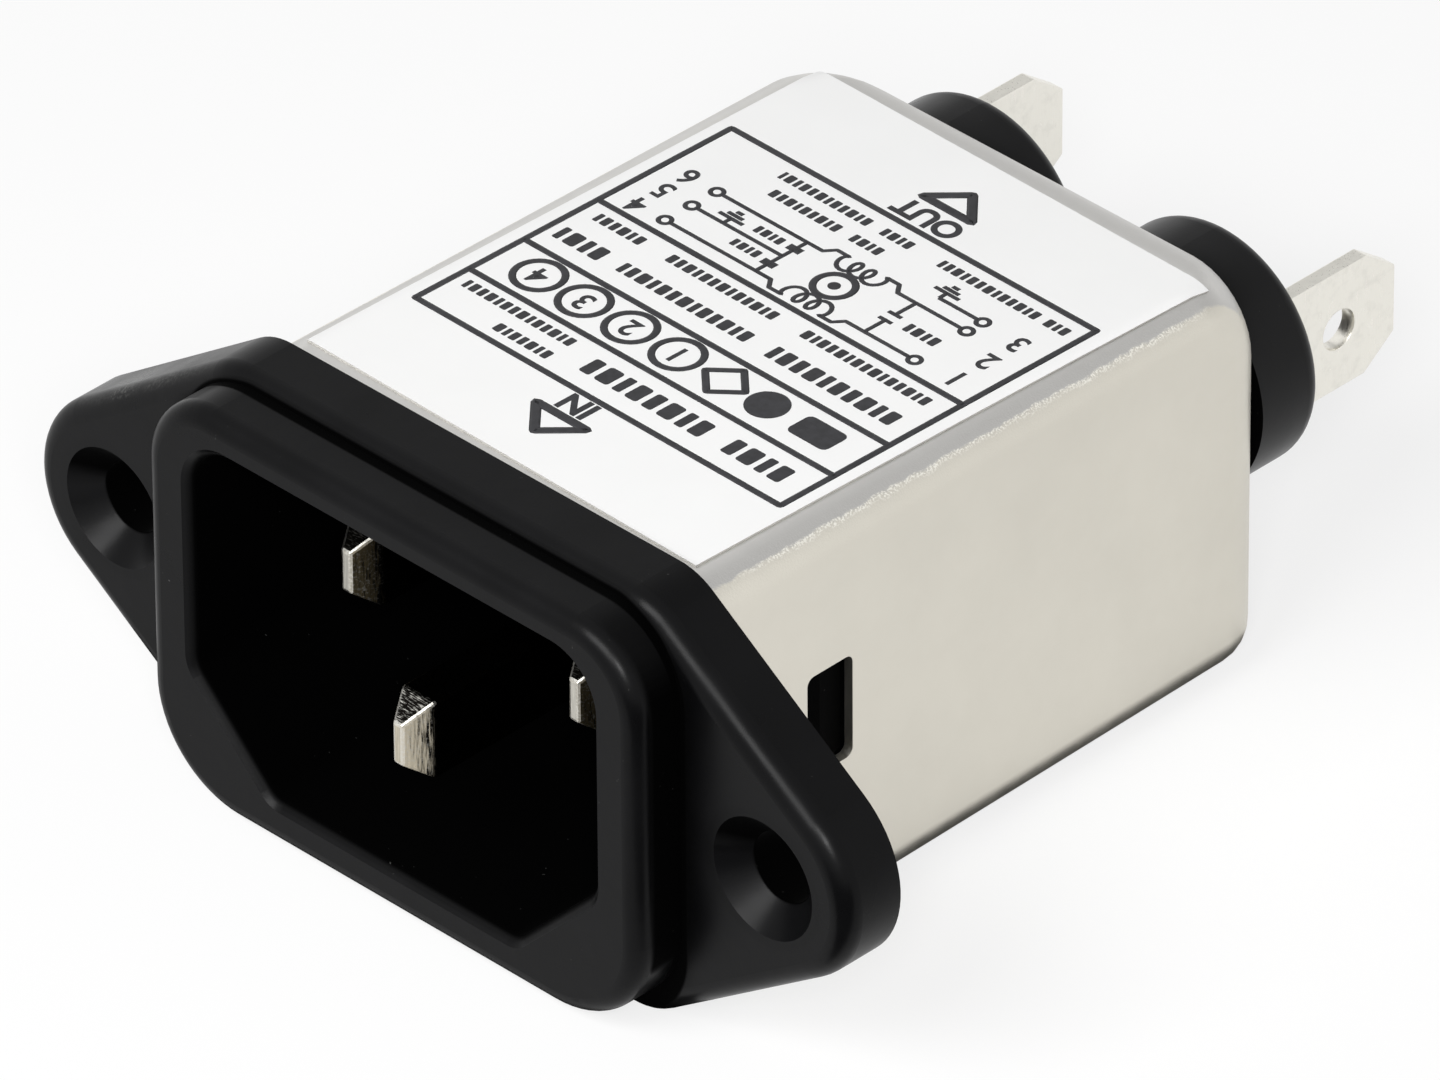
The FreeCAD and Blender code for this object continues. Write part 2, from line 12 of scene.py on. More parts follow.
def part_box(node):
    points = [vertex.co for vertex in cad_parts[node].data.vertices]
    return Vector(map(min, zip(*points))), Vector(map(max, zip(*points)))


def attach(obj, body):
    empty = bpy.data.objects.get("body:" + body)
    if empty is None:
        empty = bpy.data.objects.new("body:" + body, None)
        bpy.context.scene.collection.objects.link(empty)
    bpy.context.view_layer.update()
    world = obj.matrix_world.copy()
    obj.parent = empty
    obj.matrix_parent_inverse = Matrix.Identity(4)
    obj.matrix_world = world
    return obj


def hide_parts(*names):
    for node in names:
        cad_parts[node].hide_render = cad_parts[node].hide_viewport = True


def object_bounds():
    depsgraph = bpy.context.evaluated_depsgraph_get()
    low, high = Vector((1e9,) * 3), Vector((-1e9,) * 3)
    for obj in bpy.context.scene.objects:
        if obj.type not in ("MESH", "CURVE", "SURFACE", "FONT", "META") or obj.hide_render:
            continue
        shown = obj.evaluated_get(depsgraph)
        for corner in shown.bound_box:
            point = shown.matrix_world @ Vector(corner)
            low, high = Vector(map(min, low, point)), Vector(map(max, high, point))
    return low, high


bl_info = {
    "name": "Filtered Mains Inlet",
    "version": (1, 0, 0),
    "blender": (4, 5, 0),
    "location": "View3D > Sidebar > Inlet",
    "description": "Dresses the solids of a panel-mount mains inlet with a line filter",
    "category": "Object",
}

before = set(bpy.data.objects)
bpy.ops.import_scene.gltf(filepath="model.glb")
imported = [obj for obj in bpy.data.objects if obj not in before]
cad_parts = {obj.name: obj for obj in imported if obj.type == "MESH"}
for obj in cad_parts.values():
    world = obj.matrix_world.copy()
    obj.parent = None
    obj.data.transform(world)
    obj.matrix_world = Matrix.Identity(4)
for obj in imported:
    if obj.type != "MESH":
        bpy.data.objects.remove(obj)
cad_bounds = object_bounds()
CAN_LOW, CAN_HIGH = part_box("filter_can")
MM = 0.001
BODY = "root"


# Sizes and colours that a user would change

class InletFinish(bpy.types.PropertyGroup):
    """Colours and gloss of the inlet's materials."""

    moulding_colour: FloatVectorProperty(
        name="Moulding", description="Black plastic of the housing",
        subtype="COLOR", size=3, min=0, max=1, default=(0.0026, 0.0026, 0.0029))
    moulding_gloss: FloatProperty(
        name="Moulding gloss", description="How strongly the housing's plastic reflects",
        subtype="FACTOR", min=0, max=1, default=0.09)
    moulding_roughness: FloatProperty(
        name="Moulding roughness", description="How dull the plastic is",
        subtype="FACTOR", min=0, max=1, default=0.32)
    insulator_colour: FloatVectorProperty(
        name="Insulators", description="Black plastic of the bosses under the load tabs",
        subtype="COLOR", size=3, min=0, max=1, default=(0.007, 0.007, 0.0073))
    insulator_gloss: FloatProperty(
        name="Insulator gloss", description="How strongly the bosses' plastic reflects",
        subtype="FACTOR", min=0, max=1, default=0.13)
    can_colour: FloatVectorProperty(
        name="Can", description="Plated steel of the drawn can",
        subtype="COLOR", size=3, min=0, max=1, default=(0.68, 0.652, 0.58))
    # Base of the painted shade on the can's upper face and bends, used in lighter and darker copies
    bend_shade_colour: FloatVectorProperty(
        name="Can bends", description="Plated steel where the can's upper edges are drawn round",
        subtype="COLOR", size=3, min=0, max=1, default=(0.64, 0.63, 0.61))
    can_roughness: FloatProperty(
        name="Can roughness", description="How dull the can's plating is",
        subtype="FACTOR", min=0, max=1, default=0.4)
    contact_colour: FloatVectorProperty(
        name="Contacts", description="Nickel plating of the pins and tabs",
        subtype="COLOR", size=3, min=0, max=1, default=(0.85, 0.83, 0.765))
    contact_roughness: FloatProperty(
        name="Contact roughness", description="How dull the pins and tabs are",
        subtype="FACTOR", min=0, max=1, default=0.34)
    film_colour: FloatVectorProperty(
        name="Film", description="White film of the label",
        subtype="COLOR", size=3, min=0, max=1, default=(0.9, 0.9, 0.895))
    ink_colour: FloatVectorProperty(
        name="Ink", description="Ink of the label's print",
        subtype="COLOR", size=3, min=0, max=1, default=(0.018, 0.018, 0.02))


class InletCan(bpy.types.PropertyGroup):
    """Sheet and roundings of the drawn can and its film, and the worn edges of the contacts."""

    sheet: FloatProperty(
        name="Sheet", description="Thickness of the can's wall", unit="LENGTH", default=0.5 * MM)
    film: FloatProperty(
        name="Film", description="Thickness of the label's film", unit="LENGTH", default=0.1 * MM)
    film_trim: FloatProperty(
        name="Film trim", description="How much shorter the film is at the flange", unit="LENGTH",
        default=0.15 * MM)
    film_turn: FloatProperty(
        name="Film turn", description="How far the film is stuck on askew",
        subtype="ANGLE", default=math.radians(-1.2))
    draft: FloatProperty(
        name="Draft", description="How much each wall leans in for its depth", default=0.008)
    side_radius: FloatProperty(
        name="Side radius", description="Rounding of the long edges", unit="LENGTH", default=2.0 * MM)
    corner_radius: FloatProperty(
        name="Corner radius", description="Rounding of the upper long edges at the rear",
        unit="LENGTH", default=4.4 * MM)
    base_radius: FloatProperty(
        name="Base radius", description="Rounding of the rear edges", unit="LENGTH", default=2.6 * MM)
    swell_start: FloatProperty(
        name="Swell start", description="Depth where the upper long edges start to grow rounder",
        unit="LENGTH", default=31.0 * MM)
    burr: FloatProperty(
        name="Burr", description="Width of the bright rim round the pierced openings",
        unit="LENGTH", default=0.07 * MM)
    window: FloatVectorProperty(
        name="Window", description="Depth and height of the latch window",
        subtype="XYZ", unit="LENGTH", size=2, default=(2.8 * MM, 5.3 * MM))
    window_place: FloatVectorProperty(
        name="Window place", description="Middle of the latch window behind the panel and above the axis",
        subtype="XYZ", unit="LENGTH", size=2, default=(6.9 * MM, 0.35 * MM))
    window_radius: FloatProperty(
        name="Window radius", description="Rounding of the window's corners",
        unit="LENGTH", default=0.4 * MM)
    stem_gap: FloatVectorProperty(
        name="Stem gap", description="From a tab to the edge of the opening for its insulator's stem",
        subtype="XYZ", unit="LENGTH", size=2, default=(0.74 * MM, 0.14 * MM))
    rivet_hole: FloatProperty(
        name="Rivet hole", description="Diameter of the hole for the earth rivet",
        unit="LENGTH", default=1.66 * MM)
    contact_edge: FloatProperty(
        name="Contact edge", description="Rounding of the edges of the tabs",
        unit="LENGTH", default=0.07 * MM)
    pin_edge: FloatProperty(
        name="Pin edge", description="Rounding of the edges of the pins",
        unit="LENGTH", default=0.12 * MM)


class InletPrint(bpy.types.PropertyGroup):
    """Layout of the label's print, read from the rear with its top towards the flange."""

    centre: FloatVectorProperty(
        name="Centre", description="Middle of the printed frame, across and back from the panel",
        subtype="XYZ", unit="LENGTH", size=2, default=(0.0, 16.6 * MM))
    turn: FloatProperty(
        name="Turn", description="How far the print is askew on the film",
        subtype="ANGLE", default=math.radians(-0.85))
    width: FloatProperty(
        name="Width", description="Width of the printed frame in millimetres", default=22.67)
    row_heights: FloatVectorProperty(
        name="Rows", description="Heights of the frame's rows in millimetres, from the top",
        size=4, default=(3.25, 3.34, 4.51, 8.23))
    line: FloatProperty(
        name="Line", description="Width of the frame's lines in millimetres", default=0.36)
    thin_line: FloatProperty(
        name="Thin line", description="Width of the diagram's lines in millimetres", default=0.24)
    arrow_line: FloatProperty(
        name="Arrow line", description="Width of the arrows' lines in millimetres", default=0.5)
    ink: FloatProperty(
        name="Ink", description="Height of the ink above the film in millimetres", default=0.012)


class InletStage(bpy.types.PropertyGroup):
    """Camera and light."""

    aim: FloatVectorProperty(
        name="Aim", description="Point at the middle of the picture",
        subtype="XYZ", unit="LENGTH", size=3, default=(2.835 * MM, 11.470 * MM, 1.992 * MM))
    azimuth: FloatProperty(
        name="Azimuth", description="Camera's turn round the part from its front",
        subtype="ANGLE", default=math.radians(44.939))
    elevation: FloatProperty(
        name="Elevation", description="Camera's height above the horizon",
        subtype="ANGLE", default=math.radians(34.599))
    roll: FloatProperty(
        name="Roll", description="Camera's turn about its own axis",
        subtype="ANGLE", default=math.radians(-0.406))
    distance: FloatProperty(
        name="Distance", description="From the camera to the aim", unit="LENGTH", default=810.84 * MM)
    lens: FloatProperty(
        name="Lens", description="Focal length in millimetres on a sensor 36 mm wide", default=465.5)
    floor_colour: FloatVectorProperty(
        name="Floor", description="Pale floor", subtype="COLOR", size=3, min=0, max=1,
        default=(0.9, 0.9, 0.9))
    front_power: FloatProperty(
        name="Front light", description="Wide softbox before the part and above it",
        unit="POWER", default=3.5)
    camera_power: FloatProperty(
        name="Camera light", description="Small light beside the camera", unit="POWER", default=2.2)
    ambient: FloatProperty(
        name="Ambient", description="Even light from all round", min=0, default=0.12)
    card_shade: FloatProperty(
        name="Grey card", description="Brightness of the grey card that the top reflects",
        min=0, default=0.6)


# Shader nodes, and the range that most of a noise falls in

NOISE_SPAN = (0.3, 0.7)


def feed(tree, socket, value):
    """Give an input a value, or link another node's socket to it."""
    if isinstance(value, bpy.types.NodeSocket):
        tree.links.new(value, socket)
    else:
        socket.default_value = value


def add_node(tree, kind, inputs=None, **settings):
    """A shader node with its settings, and inputs given as values or as sockets to link."""
    node = tree.nodes.new(kind)
    for name, value in settings.items():
        setattr(node, name, value)
    for name, value in (inputs or {}).items():
        feed(tree, node.inputs[name], value)
    return node


def new_material(name):
    """Empty node material and its tree."""
    material = bpy.data.materials.new(name)
    material.use_nodes = True
    tree = material.node_tree
    tree.nodes.clear()
    return material, tree


def surfaced(material, shader):
    """A material with a shader as its surface."""
    add_node(material.node_tree, "ShaderNodeOutputMaterial", {"Surface": shader})
    return material


def coated(material, inputs):
    """A material with a solid surface that has these inputs."""
    shader = add_node(material.node_tree, "ShaderNodeBsdfPrincipled", inputs)
    return surfaced(material, shader.outputs["BSDF"])


def own(tree, kind):
    """A piece's own coordinates: Object for a place on it, Normal for the way that a face looks."""
    return add_node(tree, "ShaderNodeTexCoord").outputs[kind]


def split(tree, vector):
    """The X, Y and Z of a vector."""
    node = add_node(tree, "ShaderNodeSeparateXYZ", {"Vector": vector})
    return [node.outputs[axis] for axis in "XYZ"]


def noise(tree, vector, size, detail=2.0, roughness=0.5):
    """Noise whose features are about the given size in metres."""
    node = add_node(tree, "ShaderNodeTexNoise",
                    {"Vector": vector, "Scale": 1 / size, "Detail": detail, "Roughness": roughness})
    return node.outputs["Fac"]


def stretched(tree, vector, scale):
    """Coordinates that are squeezed or stretched along each axis."""
    return add_node(tree, "ShaderNodeMapping", {"Vector": vector, "Scale": scale}).outputs["Vector"]


def ranged(tree, value, low, high, to_low, to_high):
    """A value carried from one range to another, held at its ends."""
    node = add_node(tree, "ShaderNodeMapRange", {
        "Value": value, "From Min": low, "From Max": high, "To Min": to_low, "To Max": to_high})
    return node.outputs["Result"]


def rising(tree, value, low, high):
    """Nought below a range of a value and one above it."""
    return ranged(tree, value, low, high, 0, 1)


def falling(tree, value, low, high):
    """One below a range of a value and nought above it."""
    return ranged(tree, value, low, high, 1, 0)


def blended(tree, factor, first, second):
    """Colour between two colours or sockets."""
    node = add_node(tree, "ShaderNodeMix", data_type="RGBA")
    sockets = {socket.name: socket for socket in node.inputs if socket.enabled}
    feed(tree, sockets["Factor"], factor)
    for name, colour in (("A", first), ("B", second)):
        linked = isinstance(colour, bpy.types.NodeSocket)
        feed(tree, sockets[name], colour if linked else (*colour, 1))
    return next(socket for socket in node.outputs if socket.enabled)


def maths(tree, operation, first, second=0.0):
    """One sum on two values or sockets."""
    node = add_node(tree, "ShaderNodeMath", operation=operation)
    for socket, value in zip(node.inputs, (first, second)):
        feed(tree, socket, value)
    return node.outputs["Value"]


def product(tree, found, *factors):
    """Several values multiplied together."""
    for factor in factors:
        found = maths(tree, "MULTIPLY", found, factor)
    return found


def largest(tree, found, *values):
    """The largest of several values."""
    for value in values:
        found = maths(tree, "MAXIMUM", found, value)
    return found


def reach(tree, across, up):
    """Length of the straight line that goes so far across and so far up."""
    squares = [maths(tree, "MULTIPLY", side, side) for side in (across, up)]
    return maths(tree, "SQRT", maths(tree, "ADD", *squares))


def bumped(tree, height, strength, distance, normal=None):
    """Normal bent by a height."""
    inputs = {"Height": height, "Strength": strength, "Distance": distance}
    if normal is not None:
        inputs["Normal"] = normal
    return add_node(tree, "ShaderNodeBump", inputs).outputs["Normal"]


def shaded(colour, factor):
    """A colour made lighter or darker."""
    return [min(1.0, c * factor) for c in colour]


# Places that the finishes follow, with ranges where they fade, and a cut corner as across plus down

RIM_FRONT = cad_bounds[0].y
RIM_HALF_WIDTH = 15.05 * MM
RIM_HALF_HEIGHT = 10.4 * MM
RIM_MIDDLE = -0.15 * MM
RIM_RADIUS = 4.0 * MM
FLANGE_FRONT = -3.3 * MM
SOCKET_HALF_WIDTH = 12.8 * MM
SOCKET_HALF_HEIGHT = 8.8 * MM
SOCKET_CUT_CORNER = 16.4 * MM
SCREW_PLACE = 20 * MM
BORE_RADIUS = 1.72 * MM
COUNTERSINK_RADIUS = 3.3 * MM
BEHIND_FLANGE = (0.4 * MM, 0.8 * MM)
SCUFF_HIGHLIGHT_ACROSS = (-18 * MM, -13.5 * MM)
SCUFF_HIGHLIGHT_HEIGHT = (4.0 * MM, 5.5 * MM)
DRAW_LINE = 13.2 * MM
DRAW_LINE_SLANT = 0.003
GLINT_START = (1.5 * MM, 4 * MM)
GLINT_END = (29 * MM, 32 * MM)
REAR_SHADE = (32.2 * MM, 33.2 * MM)
PIN_TIP_LENGTH = 1.3 * MM

# Colours of wear, of a scuff that is partly painted highlight, of painted shade on the pins' shanks, of
# painted glints on the drawn edges and of painted shade on the film's cut edge

SPECK_COLOUR = (0.06, 0.06, 0.058)
SCUFF_HIGHLIGHT_COLOUR = (0.08, 0.08, 0.077)
GLINT_COLOUR = (0.93, 0.91, 0.84)
SHANK_SHADE_COLOUR = (0.006, 0.0055, 0.0045)
FILM_EDGE_SHADE_COLOUR = (0.4, 0.39, 0.37)

# Slopes stained and painted darker as shade, most on the power pins, bright flats and share of scratches at
# the tips of the pins

PinTip = namedtuple("PinTip", "slope flats scratches")

POWER_PIN_TIP = PinTip(slope=(0.19, 0.155, 0.09), flats=(0.62, 0.6, 0.54), scratches=0.1)
EARTH_PIN_TIP = PinTip(slope=(0.6, 0.54, 0.42), flats=(0.6, 0.55, 0.44), scratches=0.5)

# Finishes of the pieces inside the can, each with the size of its mottle

InnerFinish = namedtuple("InnerFinish", "name dark light mottle roughness metallic nodes")

INNER_FINISHES = (
    InnerFinish("ferrite_finish", (0.03, 0.03, 0.033), (0.06, 0.06, 0.065), 0.6 * MM, 0.6, 0.0,
                ("choke_core",)),
    InnerFinish("enamelled_wire_finish", (0.4, 0.13, 0.05), (0.6, 0.25, 0.1), 0.9 * MM, 0.3, 1.0,
                ("left_winding", "right_winding")),
    InnerFinish("liner_finish", (0.45, 0.4, 0.31), (0.6, 0.55, 0.45), 0.8 * MM, 0.8, 0.0,
                ("insulating_liner",)),
    InnerFinish("box_capacitor_finish", (0.55, 0.38, 0.05), (0.65, 0.46, 0.08), 2 * MM, 0.35, 0.0,
                ("x_capacitor",)),
    InnerFinish("disc_capacitor_finish", (0.04, 0.14, 0.35), (0.06, 0.2, 0.45), 1.5 * MM, 0.35, 0.0,
                ("left_y_capacitor", "right_y_capacitor")),
)


# Materials

def from_screw(tree, place):
    """Distance of a place from the axis of the screw on its side."""
    axes = split(tree, place)
    across = maths(tree, "SUBTRACT", maths(tree, "ABSOLUTE", axes[0]), SCREW_PLACE)
    return reach(tree, across, axes[2])


def past_rim(tree, place):
    """Distance of a place beyond the rim's rounded outline, below nought within it."""
    axes = split(tree, place)
    off = []
    for value, middle, half in ((axes[0], 0, RIM_HALF_WIDTH), (axes[2], RIM_MIDDLE, RIM_HALF_HEIGHT)):
        side = maths(tree, "ABSOLUTE", maths(tree, "SUBTRACT", value, middle))
        off.append(maths(tree, "MAXIMUM", maths(tree, "SUBTRACT", side, half - RIM_RADIUS), 0.0))
    return maths(tree, "SUBTRACT", reach(tree, *off), RIM_RADIUS)


def recessed(tree, place):
    """Mask of painted shade: one in the socket, in the screws' bores and behind the flange, where no light
    reaches.
    """
    x, depth, z = split(tree, place)
    across = maths(tree, "ABSOLUTE", x)
    up = maths(tree, "ABSOLUTE", z)
    corner = maths(tree, "SUBTRACT", across, z)
    socket = rising(tree, depth, RIM_FRONT + 0.1 * MM, RIM_FRONT + 0.4 * MM)
    for side, half in ((across, SOCKET_HALF_WIDTH), (up, SOCKET_HALF_HEIGHT), (corner, SOCKET_CUT_CORNER)):
        socket = product(tree, socket, falling(tree, side, half, half + 0.2 * MM))
    behind = rising(tree, depth, *BEHIND_FLANGE)
    bore = falling(tree, from_screw(tree, place), BORE_RADIUS, BORE_RADIUS + 0.08 * MM)
    return largest(tree, socket, behind, bore)


def painted_shade_at_foot(tree, place, normal):
    """Mask of painted shade: one in the crease round the rim's foot, on its side walls and on the
    countersinks' upper halves.
    """
    depth = split(tree, place)[1]
    facing = split(tree, normal)
    outside = past_rim(tree, place)
    crease = product(tree, falling(tree, outside, 0.3 * MM, 0.5 * MM),
                     rising(tree, depth, FLANGE_FRONT - 0.45 * MM, FLANGE_FRONT - 0.3 * MM))
    wall = product(tree, rising(tree, maths(tree, "ABSOLUTE", facing[0]), 0.15, 0.45),
                   rising(tree, depth, RIM_FRONT + 0.7 * MM, RIM_FRONT + 1.1 * MM),
                   rising(tree, outside, -0.3 * MM, -0.1 * MM),
                   falling(tree, outside, 0.1 * MM, 0.3 * MM))
    hole = falling(tree, from_screw(tree, place), COUNTERSINK_RADIUS, COUNTERSINK_RADIUS + 0.2 * MM)
    cone = product(tree, hole, falling(tree, facing[2], -0.3, 0.05))
    return largest(tree, crease, wall, cone)


def scuff_and_highlight(tree, place, normal):
    """Pale speckle on the up-facing slanted upper edge of the flange at the left, partly wear and partly a
    painted highlight where that edge catches the light.
    """
    axes = split(tree, place)
    return product(tree, rising(tree, noise(tree, place, 0.15 * MM, 3), 0.44, 0.66),
                   ranged(tree, noise(tree, place, 1.6 * MM, 2), 0.35, 0.65, 0.2, 1),
                   rising(tree, split(tree, normal)[2], 0.45, 0.8),
                   falling(tree, axes[0], *SCUFF_HIGHLIGHT_ACROSS), rising(tree, axes[2], *SCUFF_HIGHLIGHT_HEIGHT))


def black_moulding(name, colour, roughness, gloss, housing):
    """Satin black plastic with a fine moulded grain, pale specks of wear, and painted shade that turns its
    crevices, creases and recesses near black.
    """
    material, tree = new_material(name)
    place = own(tree, "Object")
    crevice = add_node(tree, "ShaderNodeAmbientOcclusion", {"Distance": 2.5 * MM}, samples=8)
    # Painted shade where ambient occlusion finds a crevice
    painted_shade = falling(tree, crevice.outputs["AO"], 0.5, 0.84)
    cloud = noise(tree, place, 5 * MM, 3)
    speck = product(tree, rising(tree, noise(tree, place, 0.22 * MM, 2), 0.735, 0.77),
                    rising(tree, noise(tree, place, 2.2 * MM, 1), 0.55, 0.68))
    if housing:
        normal = own(tree, "Normal")
        painted_shade = largest(tree, painted_shade, recessed(tree, place), painted_shade_at_foot(tree, place, normal))
    body = blended(tree, rising(tree, cloud, *NOISE_SPAN), shaded(colour, 0.85), shaded(colour, 1.2))
    # Painted shade: a tenth of the colour in crevices and recesses
    body = blended(tree, painted_shade, body, shaded(colour, 0.1))
    body = blended(tree, speck, body, SPECK_COLOUR)
    if housing:
        # Pale speckle on the flange's upper left edge: partly wear, partly painted highlight
        body = blended(tree, scuff_and_highlight(tree, place, normal), body, SCUFF_HIGHLIGHT_COLOUR)
    swell = bumped(tree, noise(tree, place, 2.5 * MM, 2), 0.25, 0.08 * MM)
    grain = bumped(tree, noise(tree, place, 0.12 * MM, 3), 0.2, 0.012 * MM, swell)
    rough = ranged(tree, cloud, *NOISE_SPAN, roughness - 0.06, roughness + 0.06)
    # Painted shade also makes the recesses rough black metal, so that they reflect almost nothing
    return coated(material, {
        "Base Color": body, "Roughness": largest(tree, rough, painted_shade), "Normal": grain,
        "Specular IOR Level": gloss, "Metallic": product(tree, painted_shade, 0.8)})


def past_draw_line(tree, place, wander):
    """Distance across the can past the grainy line where its upper edges were drawn round."""
    axes = split(tree, place)
    across = maths(tree, "ABSOLUTE", axes[0])
    slant = maths(tree, "MULTIPLY", axes[1], DRAW_LINE_SLANT)
    line = maths(tree, "SUBTRACT", maths(tree, "ADD", across, slant), DRAW_LINE)
    return maths(tree, "ADD", line, ranged(tree, wander, *NOISE_SPAN, -0.07 * MM, 0.07 * MM))


def plated_can(finish):
    """Satin tinned steel, cloudy on the flats and grainy where the sheet was drawn round a bend, with
    painted light: lighter towards the mouth, painted shade on the upper face and bends, and painted glints
    along the draw line.
    """
    material, tree = new_material("plated_can_finish")
    place = own(tree, "Object")
    depth = split(tree, place)[1]
    facing = split(tree, own(tree, "Normal"))
    flat = largest(tree, *[maths(tree, "ABSOLUTE", side) for side in facing])
    bend = falling(tree, flat, 0.9, 0.998)
    cloud = noise(tree, place, 9 * MM, 3)
    mottle = noise(tree, place, 0.9 * MM, 3)
    grain = noise(tree, place, 0.1 * MM, 3, 0.6)
    past = past_draw_line(tree, place, mottle)
    top = rising(tree, facing[2], 0.3, 0.5)
    upward = product(tree, falling(tree, past, -0.08 * MM, 0.04 * MM), top)
    # Painted glints: pale flecks of colour along the grainy draw line on the upward faces
    glint = product(tree, rising(tree, grain, 0.47, 0.57), top,
                    rising(tree, past, -0.1 * MM, -0.02 * MM), falling(tree, past, 0.06 * MM, 0.2 * MM),
                    ranged(tree, depth, *GLINT_START, 0.2, 1), falling(tree, depth, *GLINT_END))
    # Cloudy tone, plus painted light: the can is lighter towards the mouth and darker towards the rear
    shade = maths(tree, "ADD", ranged(tree, cloud, *NOISE_SPAN, 0, 0.5),
                  ranged(tree, depth, 0, CAN_HIGH.y, 0.5, 0))
    colour = blended(tree, shade, shaded(finish.can_colour, 0.93), shaded(finish.can_colour, 1.07))
    # Painted shade on the upward faces inside the draw line: lighter away from the line, darker near it and
    # in a band at the rear
    painted_bend_shade = blended(tree, rising(tree, depth, *REAR_SHADE),
                    shaded(finish.bend_shade_colour, 1.12), shaded(finish.bend_shade_colour, 0.9))
    shoulder = blended(tree, rising(tree, past, -1.1 * MM, -0.1 * MM),
                       painted_bend_shade, shaded(finish.bend_shade_colour, 0.86))
    colour = blended(tree, upward, colour, shoulder)
    colour = blended(tree, glint, colour, GLINT_COLOUR)
    rough = maths(tree, "ADD", ranged(tree, mottle, *NOISE_SPAN, -0.03, 0.03), finish.can_roughness)
    normal = bumped(tree, mottle, 0.06, 0.03 * MM)
    normal = bumped(tree, product(tree, grain, bend), 0.5, 0.03 * MM, normal)
    return coated(material, {"Base Color": colour, "Metallic": 1.0, "Roughness": rough, "Normal": normal})


def nickel_roughness(tree, finish, brush):
    """Roughness of the pins and tabs, which follows their brush lines."""
    return ranged(tree, brush, *NOISE_SPAN, finish.contact_roughness - 0.08, finish.contact_roughness + 0.1)


def nickel_contact(finish):
    """Pale nickel with fine brush lines along the blades and a little brown in the low spots."""
    material, tree = new_material("nickel_contact_finish")
    place = own(tree, "Object")
    brush = noise(tree, stretched(tree, place, (1, 1, 0.08)), 0.1 * MM, 3)
    stain = noise(tree, place, 0.7 * MM, 4, 0.6)
    colour = blended(tree, ranged(tree, stain, 0.5, 0.75, 0, 0.35),
                     finish.contact_colour, shaded(finish.contact_colour, 0.72))
    return coated(material, {
        "Base Color": colour, "Metallic": 1.0, "Roughness": nickel_roughness(tree, finish, brush),
        "Normal": bumped(tree, brush, 0.2, 0.012 * MM)})


def pin_nickel_and_shade(name, finish, front, tip):
    """Nickel, bright on the tip's flat, with a painted highlight on its ridges, stained slopes that are
    painted darker towards the shank, and painted shade that turns the shank and the upper faces nearly
    black.
    """
    material, tree = new_material(name)
    place = own(tree, "Object")
    facing = split(tree, own(tree, "Normal"))
    forward = maths(tree, "MULTIPLY", facing[1], -1)
    back = rising(tree, split(tree, place)[1], front, front + PIN_TIP_LENGTH)
    brush = noise(tree, stretched(tree, place, (1, 1, 0.1)), 0.1 * MM, 3)
    scratch = noise(tree, stretched(tree, place, (0.15, 1, 1)), 0.05 * MM, 3)
    stain = noise(tree, place, 0.13 * MM, 4, 0.65)
    # Painted shade: the slopes fade towards near black further back from the tip
    shade_fade = maths(tree, "ADD", brush, maths(tree, "MULTIPLY", back, 0.45))
    colour = blended(tree, rising(tree, shade_fade, 0.72, 0.92), tip.slope, SHANK_SHADE_COLOUR)
    fleck = product(tree, ranged(tree, stain, 0.53, 0.62, 0, 0.6), ranged(tree, back, 0.3, 1, 1, 0.2))
    colour = blended(tree, fleck, colour, shaded(finish.contact_colour, 0.7))
    scratched = ranged(tree, scratch, 0.52, 0.66, 0, tip.scratches)
    # Painted shade on the upper faces, with pale scratches over it
    shaded_roof = blended(tree, scratched, SHANK_SHADE_COLOUR, finish.contact_colour)
    colour = blended(tree, rising(tree, facing[2], 0.3, 0.6), colour, shaded_roof)
    # Painted highlight on the ridges
    corner = maths(tree, "MINIMUM", maths(tree, "ABSOLUTE", facing[0]), facing[2])
    ridge_highlight = largest(tree, rising(tree, forward, 0.64, 0.74), ranged(tree, corner, 0.2, 0.4, 0, 0.8))
    ridge_highlight = product(tree, ridge_highlight, ranged(tree, stain, 0.35, 0.6, 0.45, 0.85))
    colour = blended(tree, ridge_highlight, colour, shaded(finish.contact_colour, 0.8))
    flat = blended(tree, rising(tree, brush, 0.35, 0.65), shaded(tip.flats, 0.75), tip.flats)
    colour = blended(tree, rising(tree, forward, 0.97, 0.995), colour, flat)
    # Painted shade: faces that look away from the front go near black
    colour = blended(tree, rising(tree, forward, 0.1, 0.25), SHANK_SHADE_COLOUR, colour)
    return coated(material, {
        "Base Color": colour, "Metallic": 1.0, "Roughness": nickel_roughness(tree, finish, brush),
        "Normal": bumped(tree, brush, 0.3, 0.015 * MM)})


def white_film(finish):
    """Smooth white label film with a faint cloudiness and painted shade on its cut edges."""
    material, tree = new_material("white_film_finish")
    place = own(tree, "Object")
    cloud = noise(tree, place, 4 * MM, 3)
    fibre = noise(tree, place, 0.25 * MM, 2)
    colour = blended(tree, rising(tree, cloud, *NOISE_SPAN),
                     shaded(finish.film_colour, 0.985), finish.film_colour)
    # Painted shade: faces that don't look up take a grey
    upward = split(tree, own(tree, "Normal"))[2]
    colour = blended(tree, rising(tree, upward, 0.3, 0.6), FILM_EDGE_SHADE_COLOUR, colour)
    return coated(material, {
        "Base Color": colour, "Roughness": ranged(tree, cloud, *NOISE_SPAN, 0.42, 0.5),
        "Normal": bumped(tree, fibre, 0.05, 0.01 * MM), "Specular IOR Level": 0.4})


